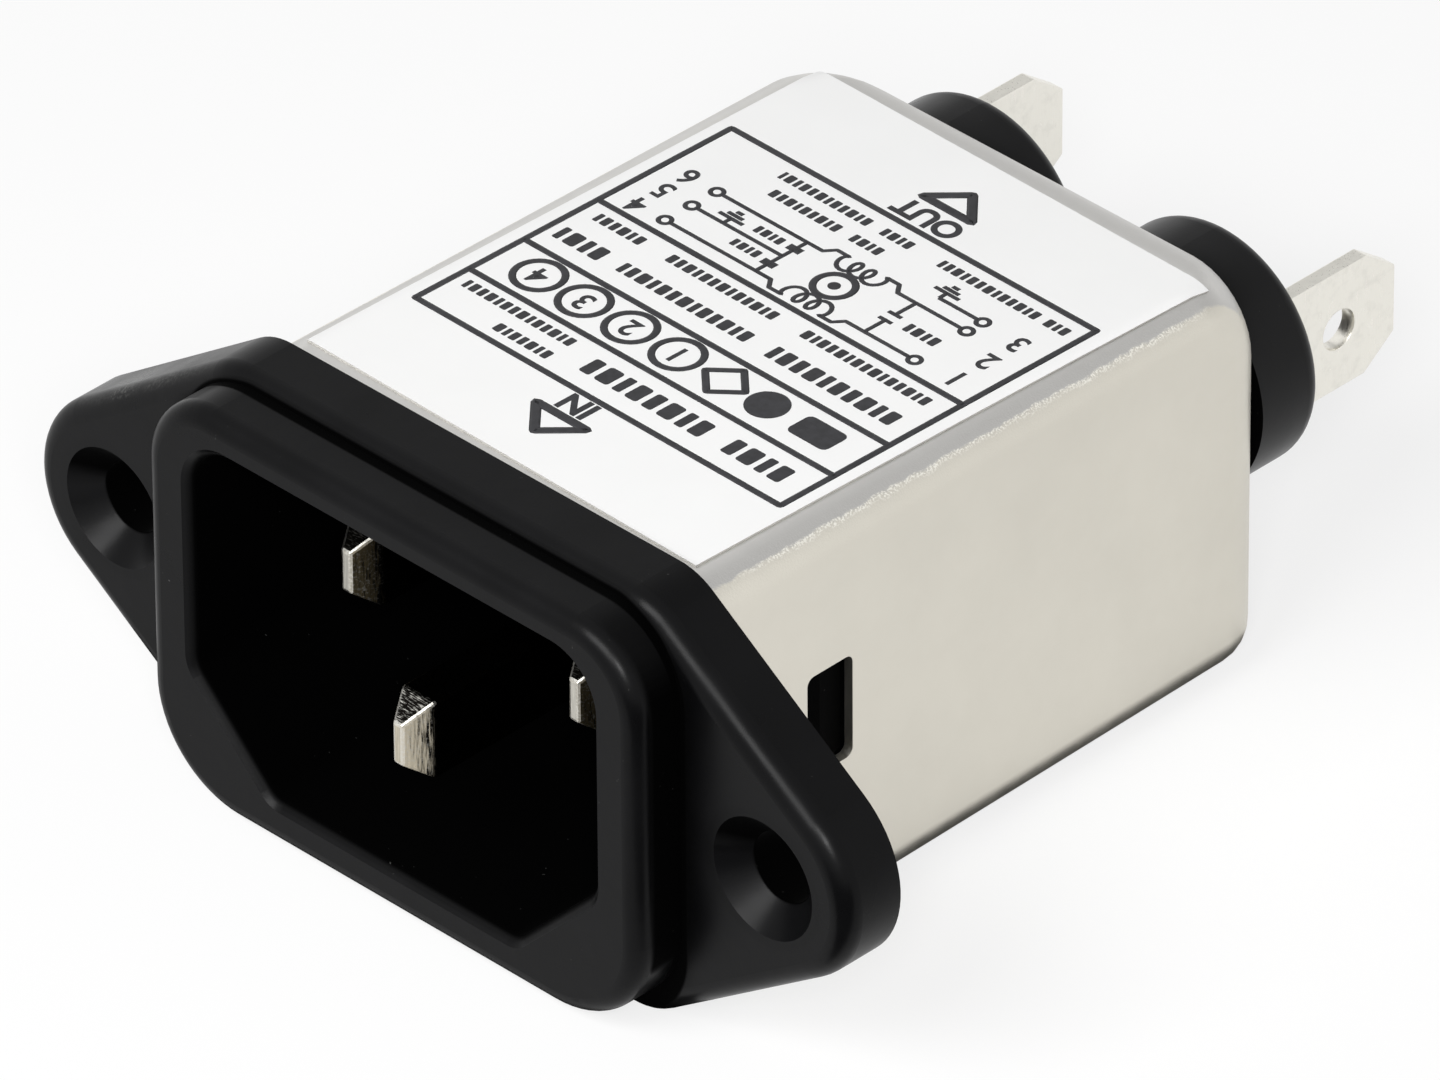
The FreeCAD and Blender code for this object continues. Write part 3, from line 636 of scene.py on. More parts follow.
def black_ink(finish):
    """Screen-printed ink with a slightly uneven density."""
    material, tree = new_material("black_ink_finish")
    density = noise(tree, own(tree, "Object"), 0.3 * MM, 3)
    colour = blended(tree, rising(tree, density, 0.35, 0.7),
                     finish.ink_colour, shaded(finish.ink_colour, 1.9))
    return coated(material, {
        "Base Color": colour, "Roughness": ranged(tree, density, *NOISE_SPAN, 0.45, 0.6),
        "Specular IOR Level": 0.3})


def inner_material(finish):
    """Plain finish with a mottle, for pieces inside the can."""
    material, tree = new_material(finish.name)
    mottle = noise(tree, own(tree, "Object"), finish.mottle, 3)
    rough = ranged(tree, mottle, *NOISE_SPAN, finish.roughness - 0.06, finish.roughness + 0.06)
    return coated(material, {
        "Base Color": blended(tree, rising(tree, mottle, *NOISE_SPAN), finish.dark, finish.light),
        "Metallic": finish.metallic, "Roughness": rough,
        "Normal": bumped(tree, mottle, 0.2, finish.mottle / 8)})


# Building and placing, with the least angle of an edge that stays sharp

SMOOTH_ANGLE = math.radians(50)


def dress(material, *nodes):
    """Give solids of the frame a finish."""
    for name in nodes:
        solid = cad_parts[name]
        solid.data.materials.clear()
        solid.data.materials.append(material)


def show(data, name):
    """Object at the origin that holds a mesh, a curve, a light or a camera."""
    holder = bpy.data.objects.new(name, data)
    bpy.context.scene.collection.objects.link(holder)
    return holder


def mesh_from(bm, name):
    """Mesh of a finished bmesh."""
    mesh = bpy.data.meshes.new(name)
    bm.to_mesh(mesh)
    bm.free()
    return mesh


def evaluated(holder):
    """Mesh that an object's modifiers or curve give, with the object thrown away."""
    bpy.context.view_layer.update()
    mesh = bpy.data.meshes.new_from_object(holder.evaluated_get(bpy.context.evaluated_depsgraph_get()))
    bpy.data.objects.remove(holder)
    return mesh


def smoothed(mesh):
    """A mesh that is shaded smooth between its sharp edges."""
    mesh.shade_smooth()
    mesh.set_sharp_from_angle(angle=SMOOTH_ANGLE)
    return mesh


def piece_of(mesh, name, material):
    """Finished piece that rides with the part."""
    mesh.materials.clear()
    mesh.materials.append(material)
    piece = show(mesh, name)
    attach(piece, BODY)
    return piece


def standing_for(mesh, name, material, node):
    """Finished piece that stands for a solid of the frame."""
    piece = piece_of(mesh, name, material)
    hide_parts(node)
    return piece


def block(bm, low, high):
    """Box between two corners, and its vertices."""
    low, high = Vector(low), Vector(high)
    made = bmesh.ops.create_cube(bm, size=1)["verts"]
    bmesh.ops.scale(bm, vec=high - low, verts=made)
    bmesh.ops.translate(bm, vec=(low + high) / 2, verts=made)
    return made


def edges_of(verts, along):
    """Edges of some vertices that run along one axis, from 0 for X to 2 for Z."""
    edges = {edge for vert in verts for edge in vert.link_edges}
    others = [axis for axis in range(3) if axis != along]
    step = {edge: edge.verts[0].co - edge.verts[1].co for edge in edges}
    return [edge for edge in edges if abs(step[edge][along]) > 10 * max(abs(step[edge][a]) for a in others)]


def rounded_edges(bm, edges, radius, segments):
    """Round some edges of a bmesh."""
    bmesh.ops.bevel(bm, geom=edges, offset=radius, offset_type="OFFSET", segments=segments, profile=0.5,
                    affect="EDGES", clamp_overlap=True, material=-1)


# Drawn can: steps of its roundings, a corner's share of an inset, the burr's angle and the film's cells

CORNER_STEPS = 10
REAR_STEPS = 8
CORNER_LOSS = 0.8
BURR_ANGLE = math.radians(60)
FILM_CELLS = (96, 32)


def upper_radius(sizes, y):
    """Rounding of the can's upper long edges at a depth, which grows towards the rear corners."""
    share = min(1.0, max(0.0, (y - sizes.swell_start) / (CAN_HIGH.y - sizes.swell_start)))
    return sizes.side_radius + (sizes.corner_radius - sizes.side_radius) * share * share * (3 - 2 * share)


def can_top(sizes, x, y):
    """Height of the can's upper face at a place on it."""
    lean = sizes.draft * (y - CAN_LOW.y)
    radius = upper_radius(sizes, y)
    past = min(radius, max(0.0, abs(x) - (CAN_HIGH.x - lean - radius)))
    return CAN_HIGH.z - lean - radius + math.sqrt(radius ** 2 - past ** 2)


def can_ring(bm, sizes, y, inset):
    """Edges of a rounded outline of the can at a depth, drawn in by an inset."""
    middle = (CAN_LOW + CAN_HIGH) / 2
    lean = sizes.draft * (y - CAN_LOW.y) + inset
    half_x = CAN_HIGH.x - middle.x - lean
    half_z = CAN_HIGH.z - middle.z - lean
    verts = []
    for corner, (side, up) in enumerate(((1, 1), (-1, 1), (-1, -1), (1, -1))):
        full = upper_radius(sizes, y) if up > 0 else sizes.side_radius
        radius = full - inset * CORNER_LOSS
        for step in range(CORNER_STEPS + 1):
            turn = math.pi / 2 * (corner + step / CORNER_STEPS)
            verts.append(bm.verts.new((middle.x + side * (half_x - radius) + radius * math.cos(turn), y,
                                       middle.z + up * (half_z - radius) + radius * math.sin(turn))))
    return [bm.edges.new((verts[i - 1], verts[i])) for i in range(len(verts))]


def can_blank(sizes):
    """Outer skin of the can, joined from rounded outlines and open at the mouth."""
    shoulder = CAN_HIGH.y - sizes.base_radius
    swell = shoulder - sizes.swell_start
    shares = [step / REAR_STEPS for step in range(1, REAR_STEPS + 1)]
    outlines = [(CAN_LOW.y, 0.0), (sizes.swell_start, 0.0)]
    outlines += [(sizes.swell_start + swell * share, 0.0) for share in shares]
    for share in shares:
        turn = math.pi / 2 * share
        inset = sizes.base_radius * (1 - math.cos(turn))
        outlines.append((shoulder + sizes.base_radius * math.sin(turn), inset))
    bm = bmesh.new()
    rings = [can_ring(bm, sizes, y, inset) for y, inset in outlines]
    for front, rear in zip(rings, rings[1:]):
        bmesh.ops.bridge_loops(bm, edges=front + rear)
    bmesh.ops.edgeloop_fill(bm, edges=rings[-1])
    bmesh.ops.recalc_face_normals(bm, faces=bm.faces)
    return mesh_from(bm, "can_blank")


def can_cutters(sizes):
    """Blocks that cut the latch windows, the openings for the stems and the rivet's hole."""
    past = 2 * sizes.sheet
    bm = bmesh.new()
    half_depth, half_height = [size / 2 for size in sizes.window]
    y, z = sizes.window_place
    window = block(bm, (CAN_LOW.x - past, y - half_depth, z - half_height),
                   (CAN_HIGH.x + past, y + half_depth, z + half_height))
    rounded_edges(bm, edges_of(window, 0), sizes.window_radius, 4)
    wall = (CAN_HIGH.y - past, CAN_HIGH.y + past)
    for tab in ("left_load_tab", "right_load_tab"):
        near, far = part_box(tab)
        side, end = sizes.stem_gap
        block(bm, (near.x - side, wall[0], near.z - end), (far.x + side, wall[1], far.z + end))
    near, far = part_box("earth_rivet")
    centre = (near + far) / 2
    shank = bmesh.ops.create_cone(bm, cap_ends=True, segments=32, radius1=sizes.rivet_hole / 2,
                                  radius2=sizes.rivet_hole / 2, depth=wall[1] - wall[0])["verts"]
    bmesh.ops.rotate(bm, matrix=Matrix.Rotation(math.pi / 2, 3, "X"), verts=shank)
    bmesh.ops.translate(bm, vec=(centre.x, CAN_HIGH.y, centre.z), verts=shank)
    return mesh_from(bm, "can_cutters")


def can_mesh(sizes):
    """The can as drawn sheet: rounded, given its wall and pierced."""
    can = show(can_blank(sizes), "can_blank")
    wall = can.modifiers.new("wall", "SOLIDIFY")
    wall.thickness = sizes.sheet
    wall.offset = -1
    wall.use_even_offset = True
    cutters = show(can_cutters(sizes), "can_cutters")
    pierce = can.modifiers.new("pierce", "BOOLEAN")
    pierce.operation = "DIFFERENCE"
    pierce.solver = "EXACT"
    pierce.object = cutters
    burr = can.modifiers.new("burr", "BEVEL")
    burr.limit_method = "ANGLE"
    burr.angle_limit = BURR_ANGLE
    burr.width = sizes.burr
    burr.segments = 2
    mesh = smoothed(evaluated(can))
    bpy.data.objects.remove(cutters)
    return mesh


def film_mesh(sizes):
    """Label's film, laid over the can's upper face and its rounded rear corners."""
    low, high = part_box("label_film")
    low = low + Vector((0, sizes.film_trim, 0))
    bm = bmesh.new()
    bmesh.ops.create_grid(bm, x_segments=FILM_CELLS[0], y_segments=FILM_CELLS[1], size=0.5)
    bmesh.ops.scale(bm, vec=(high.x - low.x, high.y - low.y, 1), verts=bm.verts)
    bmesh.ops.rotate(bm, matrix=Matrix.Rotation(sizes.film_turn, 3, "Z"), verts=bm.verts)
    bmesh.ops.translate(bm, vec=(low + high) / 2, verts=bm.verts)
    for vert in bm.verts:
        vert.co.z = can_top(sizes, vert.co.x, vert.co.y)
    film = show(mesh_from(bm, "film"), "film")
    body = film.modifiers.new("body", "SOLIDIFY")
    body.thickness = sizes.film
    body.offset = 1
    return smoothed(evaluated(film))


# Pins and tabs: the reach of a weld, and the angles of flat faces and of sharp edges

WELD = 0.001 * MM
FLAT_ANGLE = math.radians(1)
SHARP_ANGLE = math.radians(20)


def edge_broken(node, radius):
    """Copy of a solid with its sharp edges slightly rounded."""
    bm = bmesh.new()
    bm.from_mesh(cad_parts[node].data)
    bmesh.ops.remove_doubles(bm, verts=bm.verts, dist=WELD)
    bmesh.ops.dissolve_limit(bm, angle_limit=FLAT_ANGLE, verts=bm.verts, edges=bm.edges)
    sharp = [edge for edge in bm.edges if edge.is_manifold and edge.calc_face_angle() > SHARP_ANGLE]
    rounded_edges(bm, sharp, radius, 2)
    return mesh_from(bm, node)


# Label print, in millimetres from the middle of its frame

Bar = namedtuple("Bar", "start end level tall")
Number = namedtuple("Number", "body size across level bold")

MARK_LEVEL = 4.62
RING_PLACES = (0.1, 3.05, 5.95, 8.8)
RING_RADIUS = 1.17
DIAMOND_PLACE = -2.83
DIAMOND_HALF_WIDTH = 1.25
DIAMOND_HALF_HEIGHT = 1.15
DISC_PLACE = -5.43
DISC_RADIUS = 1.05
MARK_BLOCK = Bar(-9.7, -7.3, MARK_LEVEL, 1.6)
LEFT_TERMINAL = -7.4
RIGHT_TERMINAL = 8.1
TERMINAL_RADIUS = 0.3
UPPER_LINE = -2.4
LOWER_LINE = -5.6
MIDDLE_LINE = -4.05
EARTH_LINE = -6.6
COIL_ENDS = (-2.75, 1.1)
COIL_LEAD = 0.4
COIL_RADIUS = 0.5
COIL_TURNS = 3
COIL_STEPS = 16
COIL_MARGIN = 0.2
COIL_LOOP = 0.75
CHOKE_PLACE = (sum(COIL_ENDS) / 2, (UPPER_LINE + LOWER_LINE) / 2)
CHOKE_RADIUS = 0.95
CHOKE_DOT = 0.3
PLATE = 0.8
LINE_CAPACITOR = -4.3
LINE_GAP = 0.6
EARTH_CAPACITORS = 2.45
EARTH_GAP = 0.22
EARTH_PLACES = ((-4.7, EARTH_LINE), (6.15, MIDDLE_LINE))
EARTH_DROP = 0.5
EARTH_WIDTHS = (1.5, 0.95, 0.4)
EARTH_STEP = 0.28
NUMBER_SIZE = 1.65
NUMBER_BOLD = 0.02
NUMBER_COLUMNS = ((-9.7, (-2.7, -4.6, -6.5)), (9.85, (UPPER_LINE, MIDDLE_LINE, LOWER_LINE)))
WORD_SIZE = 1.75
WORD_BOLD = 0.04
IN_PLACE = (0.22, 10.5)
OUT_PLACE = (0.06, -10.75)
CORNER_REACH = 0.03
CORNER_ANGLE = math.radians(35)

# Plain blocks in a row, as shares of their height

BLOCK_WIDTHS = (0.62, 0.4, 0.7, 0.52)
BLOCK_GAP = 0.24
BLOCK_LEAST = 0.3
BLOCK_ROUNDING = 0.4


def cornered(points, closed):
    """Points of a line with two more close to each sharp corner, so that its width holds up to there."""
    found = []
    for i, point in enumerate(points):
        here = Vector(point)
        back = Vector(points[i - 1]) - here
        on = Vector(points[(i + 1) % len(points)]) - here
        inner = closed or 0 < i < len(points) - 1
        if inner and min(back.length, on.length) > CORNER_REACH and back.angle(-on) > CORNER_ANGLE:
            found += [here + back.normalized() * CORNER_REACH, here, here + on.normalized() * CORNER_REACH]
        else:
            found.append(here)
    return found


def ink_lines(bm, lines, width, ink):
    """Add flat lines of one width, each given as its points and whether it closes."""
    curve = bpy.data.curves.new("ink_lines", "CURVE")
    curve.dimensions = "3D"
    curve.bevel_depth = width / 2
    curve.bevel_resolution = 1
    curve.use_fill_caps = True
    for corners, closed in lines:
        points = cornered(corners, closed)
        spline = curve.splines.new("POLY")
        spline.points.add(len(points) - 1)
        for point, (a, b) in zip(spline.points, points):
            point.co = (a, b, 0, 1)
        spline.use_cyclic_u = closed
    mesh = evaluated(show(curve, "ink_lines"))
    for vert in mesh.vertices:
        vert.co.z = max(-ink, min(ink, vert.co.z))
    bm.from_mesh(mesh)


def ink_number(bm, number, ink):
    """Add centred plain characters."""
    text = bpy.data.curves.new("ink_number", "FONT")
    text.body = number.body
    text.size = number.size
    text.align_x = "CENTER"
    text.align_y = "CENTER"
    text.offset = number.size * number.bold
    text.extrude = ink
    mesh = evaluated(show(text, "ink_number"))
    mesh.transform(Matrix.Translation((number.across, number.level, 0)))
    bm.from_mesh(mesh)


def ink_bar(bm, bar, ink):
    """Add a block of ink with rounded corners."""
    half = bar.tall / 2
    corners = block(bm, (bar.start, bar.level - half, -ink), (bar.end, bar.level + half, ink))
    rounded_edges(bm, edges_of(corners, 2), min(half, (bar.end - bar.start) / 2) * BLOCK_ROUNDING, 3)


def ink_row(bm, bar, ink):
    """Add a row of plain blocks of several widths."""
    start = bar.start
    count = 0
    while start < bar.end - bar.tall * BLOCK_LEAST:
        end = min(bar.end, start + bar.tall * BLOCK_WIDTHS[count % len(BLOCK_WIDTHS)])
        ink_bar(bm, Bar(start, end, bar.level, bar.tall), ink)
        start = end + bar.tall * BLOCK_GAP
        count += 1


def ink_disc(bm, across, level, radius, ink):
    """Add a round spot of ink."""
    made = bmesh.ops.create_cone(bm, cap_ends=True, segments=40, radius1=radius, radius2=radius,
                                 depth=2 * ink)
    bmesh.ops.translate(bm, vec=(across, level, 0), verts=made["verts"])


def ring(across, level, radius, count=32):
    """Points round a circle."""
    turns = [2 * math.pi * i / count for i in range(count)]
    return [(across + radius * math.cos(a), level + radius * math.sin(a)) for a in turns]


def coil(level, side):
    """Points along a coil whose loops hang to one side of its line."""
    start, end = COIL_ENDS
    steps = COIL_STEPS * COIL_TURNS
    points = []
    for i in range(steps + 1):
        turn = 2 * math.pi * COIL_TURNS * i / steps
        share = COIL_MARGIN + (1 - 2 * COIL_MARGIN) * i / steps
        across = start + (end - start) * share - COIL_RADIUS * COIL_LOOP * math.sin(turn)
        points.append((across, level + side * COIL_RADIUS * math.cos(turn)))
    return points


def frame_lines(layout):
    """The frame and the lines between its rows."""
    half = layout.width / 2
    top = sum(layout.row_heights) / 2
    levels = [top - sum(layout.row_heights[:i]) for i in range(len(layout.row_heights) + 1)]
    around = [(-half, levels[0]), (half, levels[0]), (half, levels[-1]), (-half, levels[-1])]
    return [(around, True)] + [([(-half, level), (half, level)], False) for level in levels[1:-1]]


def block_rows():
    """Rows of plain blocks in the frame's first and third rows, under the diagram and within it."""
    first = [Bar(-10.0, -5.9, 7.95, 1.2), Bar(-5.1, 2.7, 7.95, 1.2),
             Bar(3.9, 7.4, 8.7, 0.62), Bar(3.9, 10.9, 7.3, 0.62)]
    third = [Bar(-10.2, -2.3, 1.55, 1.0), Bar(-1.2, 6.8, 1.55, 0.8), Bar(7.9, 10.7, 1.55, 1.0),
             Bar(-10.2, -2.5, -0.45, 0.65), Bar(-0.8, 6.0, -0.45, 0.65), Bar(7.5, 10.7, -0.45, 0.65)]
    under = [Bar(-10.6, -9.3, -8.6, 0.6), Bar(-8.8, -2.8, -8.6, 0.6), Bar(-0.4, 1.6, -7.3, 0.6),
             Bar(2.2, 6.6, -7.3, 0.6), Bar(-1.0, 1.0, -8.6, 0.6), Bar(1.6, 7.1, -8.6, 0.6)]
    within = [Bar(-7.2, -5.3, -4.0, 0.65), Bar(3.2, 4.9, -3.35, 0.55), Bar(3.2, 4.9, -4.8, 0.55)]
    return first + third + under + within


def numbers():
    """Plain numbers in the rings and beside the terminals, and the way through the filter."""
    rings = [(across, MARK_LEVEL) for across in RING_PLACES]
    terminals = [(column, level) for column, levels in NUMBER_COLUMNS for level in levels]
    found = []
    for places in (rings, terminals):
        found += [Number(str(i + 1), NUMBER_SIZE, *place, NUMBER_BOLD) for i, place in enumerate(places)]
    found.append(Number("IN", WORD_SIZE, *IN_PLACE, WORD_BOLD))
    found.append(Number("OUT", WORD_SIZE, *OUT_PLACE, WORD_BOLD))
    return found


def earth_symbol(across, level):
    """Lead and three shrinking lines under a point."""
    plate = level - EARTH_DROP
    lines = [([(across, level), (across, plate)], False)]
    for i, width in enumerate(EARTH_WIDTHS):
        drop = plate - EARTH_STEP * i
        lines.append(([(across - width / 2, drop), (across + width / 2, drop)], False))
    return lines


def capacitor(across, top, bottom, gap):
    """Two plates between two levels, with their leads."""
    middle = (top + bottom) / 2
    lines = []
    for end, plate in ((top, middle + gap / 2), (bottom, middle - gap / 2)):
        lines.append(([(across, end), (across, plate)], False))
        lines.append(([(across - PLATE / 2, plate), (across + PLATE / 2, plate)], False))
    return lines


def diagram_lines():
    """Line filter with two coils, a capacitor across them, two capacitors to earth and six terminals."""
    lines = []
    left = LEFT_TERMINAL + TERMINAL_RADIUS
    right = RIGHT_TERMINAL - TERMINAL_RADIUS
    for level, side in ((UPPER_LINE, 1), (LOWER_LINE, -1)):
        crest = level + side * COIL_RADIUS
        start = [(left, level), (COIL_ENDS[0] - COIL_LEAD, level), (COIL_ENDS[0], crest)]
        end = [(COIL_ENDS[1], crest), (COIL_ENDS[1] + COIL_LEAD, level), (right, level)]
        lines.append((start + coil(level, side) + end, False))
    lines.append(([(left, EARTH_LINE), (EARTH_PLACES[0][0], EARTH_LINE)], False))
    lines.append(([(EARTH_CAPACITORS, MIDDLE_LINE), (right, MIDDLE_LINE)], False))
    for place in EARTH_PLACES:
        lines += earth_symbol(*place)
    lines += capacitor(LINE_CAPACITOR, UPPER_LINE, LOWER_LINE, LINE_GAP)
    lines += capacitor(EARTH_CAPACITORS, UPPER_LINE, MIDDLE_LINE, EARTH_GAP)
    lines += capacitor(EARTH_CAPACITORS, MIDDLE_LINE, LOWER_LINE, EARTH_GAP)
    for level in (UPPER_LINE, LOWER_LINE, EARTH_LINE):
        lines.append((ring(LEFT_TERMINAL, level, TERMINAL_RADIUS), True))
    for level in (UPPER_LINE, MIDDLE_LINE, LOWER_LINE):
        lines.append((ring(RIGHT_TERMINAL, level, TERMINAL_RADIUS), True))
    return lines


def arrow_lines():
    """Hollow arrows beyond the frame towards the line side and the load side."""
    front = [(-1.36, 11.55), (1.78, 11.55), (0.21, 13.18)]
    rear = [(-1.48, -11.85), (1.56, -11.85), (0.04, -13.44)]
    return [(front, True), (rear, True)]


def mark_lines():
    """A diamond and four rings in the row of marks, and the ring between the coils."""
    diamond = [(DIAMOND_PLACE + DIAMOND_HALF_WIDTH * across, MARK_LEVEL + DIAMOND_HALF_HEIGHT * up)
               for across, up in ((-1, 0), (0, 1), (1, 0), (0, -1))]
    rings = [(ring(place, MARK_LEVEL, RING_RADIUS), True) for place in RING_PLACES]
    return [(diamond, True), (ring(*CHOKE_PLACE, CHOKE_RADIUS), True)] + rings


def label_print(layout, sizes):
    """All the ink of the label, laid on the film."""
    bm = bmesh.new()
    ink_lines(bm, frame_lines(layout) + mark_lines(), layout.line, layout.ink)
    ink_lines(bm, diagram_lines(), layout.thin_line, layout.ink)
    ink_lines(bm, arrow_lines(), layout.arrow_line, layout.ink)
    for bar in block_rows():
        ink_row(bm, bar, layout.ink)
    ink_bar(bm, MARK_BLOCK, layout.ink)
    ink_disc(bm, DISC_PLACE, MARK_LEVEL, DISC_RADIUS, layout.ink)
    ink_disc(bm, *CHOKE_PLACE, CHOKE_DOT, layout.ink)
    for number in numbers():
        ink_number(bm, number, layout.ink)
    place = (Matrix.Translation((layout.centre[0], layout.centre[1], 0))
             @ Matrix.Rotation(math.pi + layout.turn, 4, "Z") @ Matrix.Scale(MM, 4))
    bmesh.ops.transform(bm, matrix=place, verts=bm.verts)
    for vert in bm.verts:
        vert.co.z += can_top(sizes, vert.co.x, vert.co.y) + sizes.film
    return mesh_from(bm, "label_print")


# Studio: sizes and places of the lights, corners of the cards, and the floor's white share

Softbox = namedtuple("Softbox", "size place")

WHITE = (1, 1, 1, 1)
LIGHT_AIM = Vector((0, 15 * MM, 0))
FRONT_SOFTBOX = Softbox((0.4, 0.25), Vector((0.02, -0.43, 0.42)))
CAMERA_SOFTBOX = Softbox((0.12, 0.12), Vector((0.36, -0.36, 0.36)))
FLOOR_LEVEL = cad_bounds[0].z - 0.05 * MM
FLOOR_HALF = 3
FLOOR_WHITE = 0.78
CARD_LEVEL = cad_bounds[0].z + 0.2 * MM
REAR_CARD = (Vector((-0.36, 0.3, 0.1)), Vector((0.2, 0.3, 0.7)))
# The card under the part stands in for the floor's shade, as reflections see it
UNDER_SHADE_CARD = (Vector((-0.024, -0.004, CARD_LEVEL)), Vector((0.015, 0.036, CARD_LEVEL)))
RIGHT_CARD = (Vector((0.023, -0.2, CARD_LEVEL)), Vector((0.2, -0.006, CARD_LEVEL)))
DARK_SHADE = 0.05
SENSOR_WIDTH = 36


def add_softbox(name, power, softbox):
    """Rectangular area light that faces the part."""
    lamp = bpy.data.lights.new(name, "AREA")
    lamp.energy = power
    lamp.shape = "RECTANGLE"
    lamp.size, lamp.size_y = softbox.size
    holder = show(lamp, name)
    holder.location = softbox.place
    holder.rotation_mode = "QUATERNION"
    holder.rotation_quaternion = (LIGHT_AIM - softbox.place).to_track_quat("-Z", "Y")


class INLET_OT_mouldings(bpy.types.Operator):
    """Finish the black housing, the two insulators and the choke's divider"""

    bl_idname = "inlet.mouldings"
    bl_label = "Mouldings"

    def execute(self, context):
        finish = context.scene.inlet_finish
        housing = black_moulding("housing_finish", finish.moulding_colour, finish.moulding_roughness,
                                 finish.moulding_gloss, True)
        insulator = black_moulding("insulator_finish", finish.insulator_colour, finish.moulding_roughness,
                                   finish.insulator_gloss, False)
        dress(housing, "inlet_housing", "choke_divider")
        dress(insulator, "left_terminal_insulator", "right_terminal_insulator")
        return {"FINISHED"}


class INLET_OT_can(bpy.types.Operator):
    """Draw the can with its roundings and finish it with its rivet"""

    bl_idname = "inlet.can"
    bl_label = "Can"

    def execute(self, context):
        material = plated_can(context.scene.inlet_finish)
        mesh = can_mesh(context.scene.inlet_can)
        can = standing_for(mesh, "drawn_can", material, "filter_can")
        can.modifiers.new("even_shading", "WEIGHTED_NORMAL").keep_sharp = True
        dress(material, "earth_rivet")
        return {"FINISHED"}


class INLET_OT_contacts(bpy.types.Operator):
    """Finish the pins, tabs and strap, with worn edges where they show"""

    bl_idname = "inlet.contacts"
    bl_label = "Contacts"

    def execute(self, context):
        finish = context.scene.inlet_finish
        tab = nickel_contact(finish)
        power_front, earth_front = [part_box(node)[0].y for node in ("left_power_pin", "earth_pin")]
        power_pin = pin_nickel_and_shade("power_pin_finish", finish, power_front, POWER_PIN_TIP)
        earth_pin = pin_nickel_and_shade("earth_pin_finish", finish, earth_front, EARTH_PIN_TIP)
        shown = {"left_power_pin": power_pin, "right_power_pin": power_pin, "earth_pin": earth_pin,
                 "left_load_tab": tab, "right_load_tab": tab, "earth_tab": tab}
        sizes = context.scene.inlet_can
        for node, material in shown.items():
            mesh = edge_broken(node, sizes.pin_edge if node.endswith("pin") else sizes.contact_edge)
            standing_for(mesh, "worn_" + node, material, node)
        dress(tab, "earth_strap")
        return {"FINISHED"}


class INLET_OT_label(bpy.types.Operator):
    """Lay the label's film and print a plain frame, blocks, numbers and a diagram on it"""

    bl_idname = "inlet.label"
    bl_label = "Label"

    def execute(self, context):
        finish = context.scene.inlet_finish
        sizes = context.scene.inlet_can
        standing_for(film_mesh(sizes), "laid_film", white_film(finish), "label_film")
        printed = piece_of(label_print(context.scene.inlet_print, sizes), "label_print", black_ink(finish))
        return {"FINISHED"}


class INLET_OT_inner(bpy.types.Operator):
    """Finish the pieces of the filter inside the can"""

    bl_idname = "inlet.inner"
    bl_label = "Filter inside"

    def execute(self, context):
        for finish in INNER_FINISHES:
            dress(inner_material(finish), *finish.nodes)
        return {"FINISHED"}


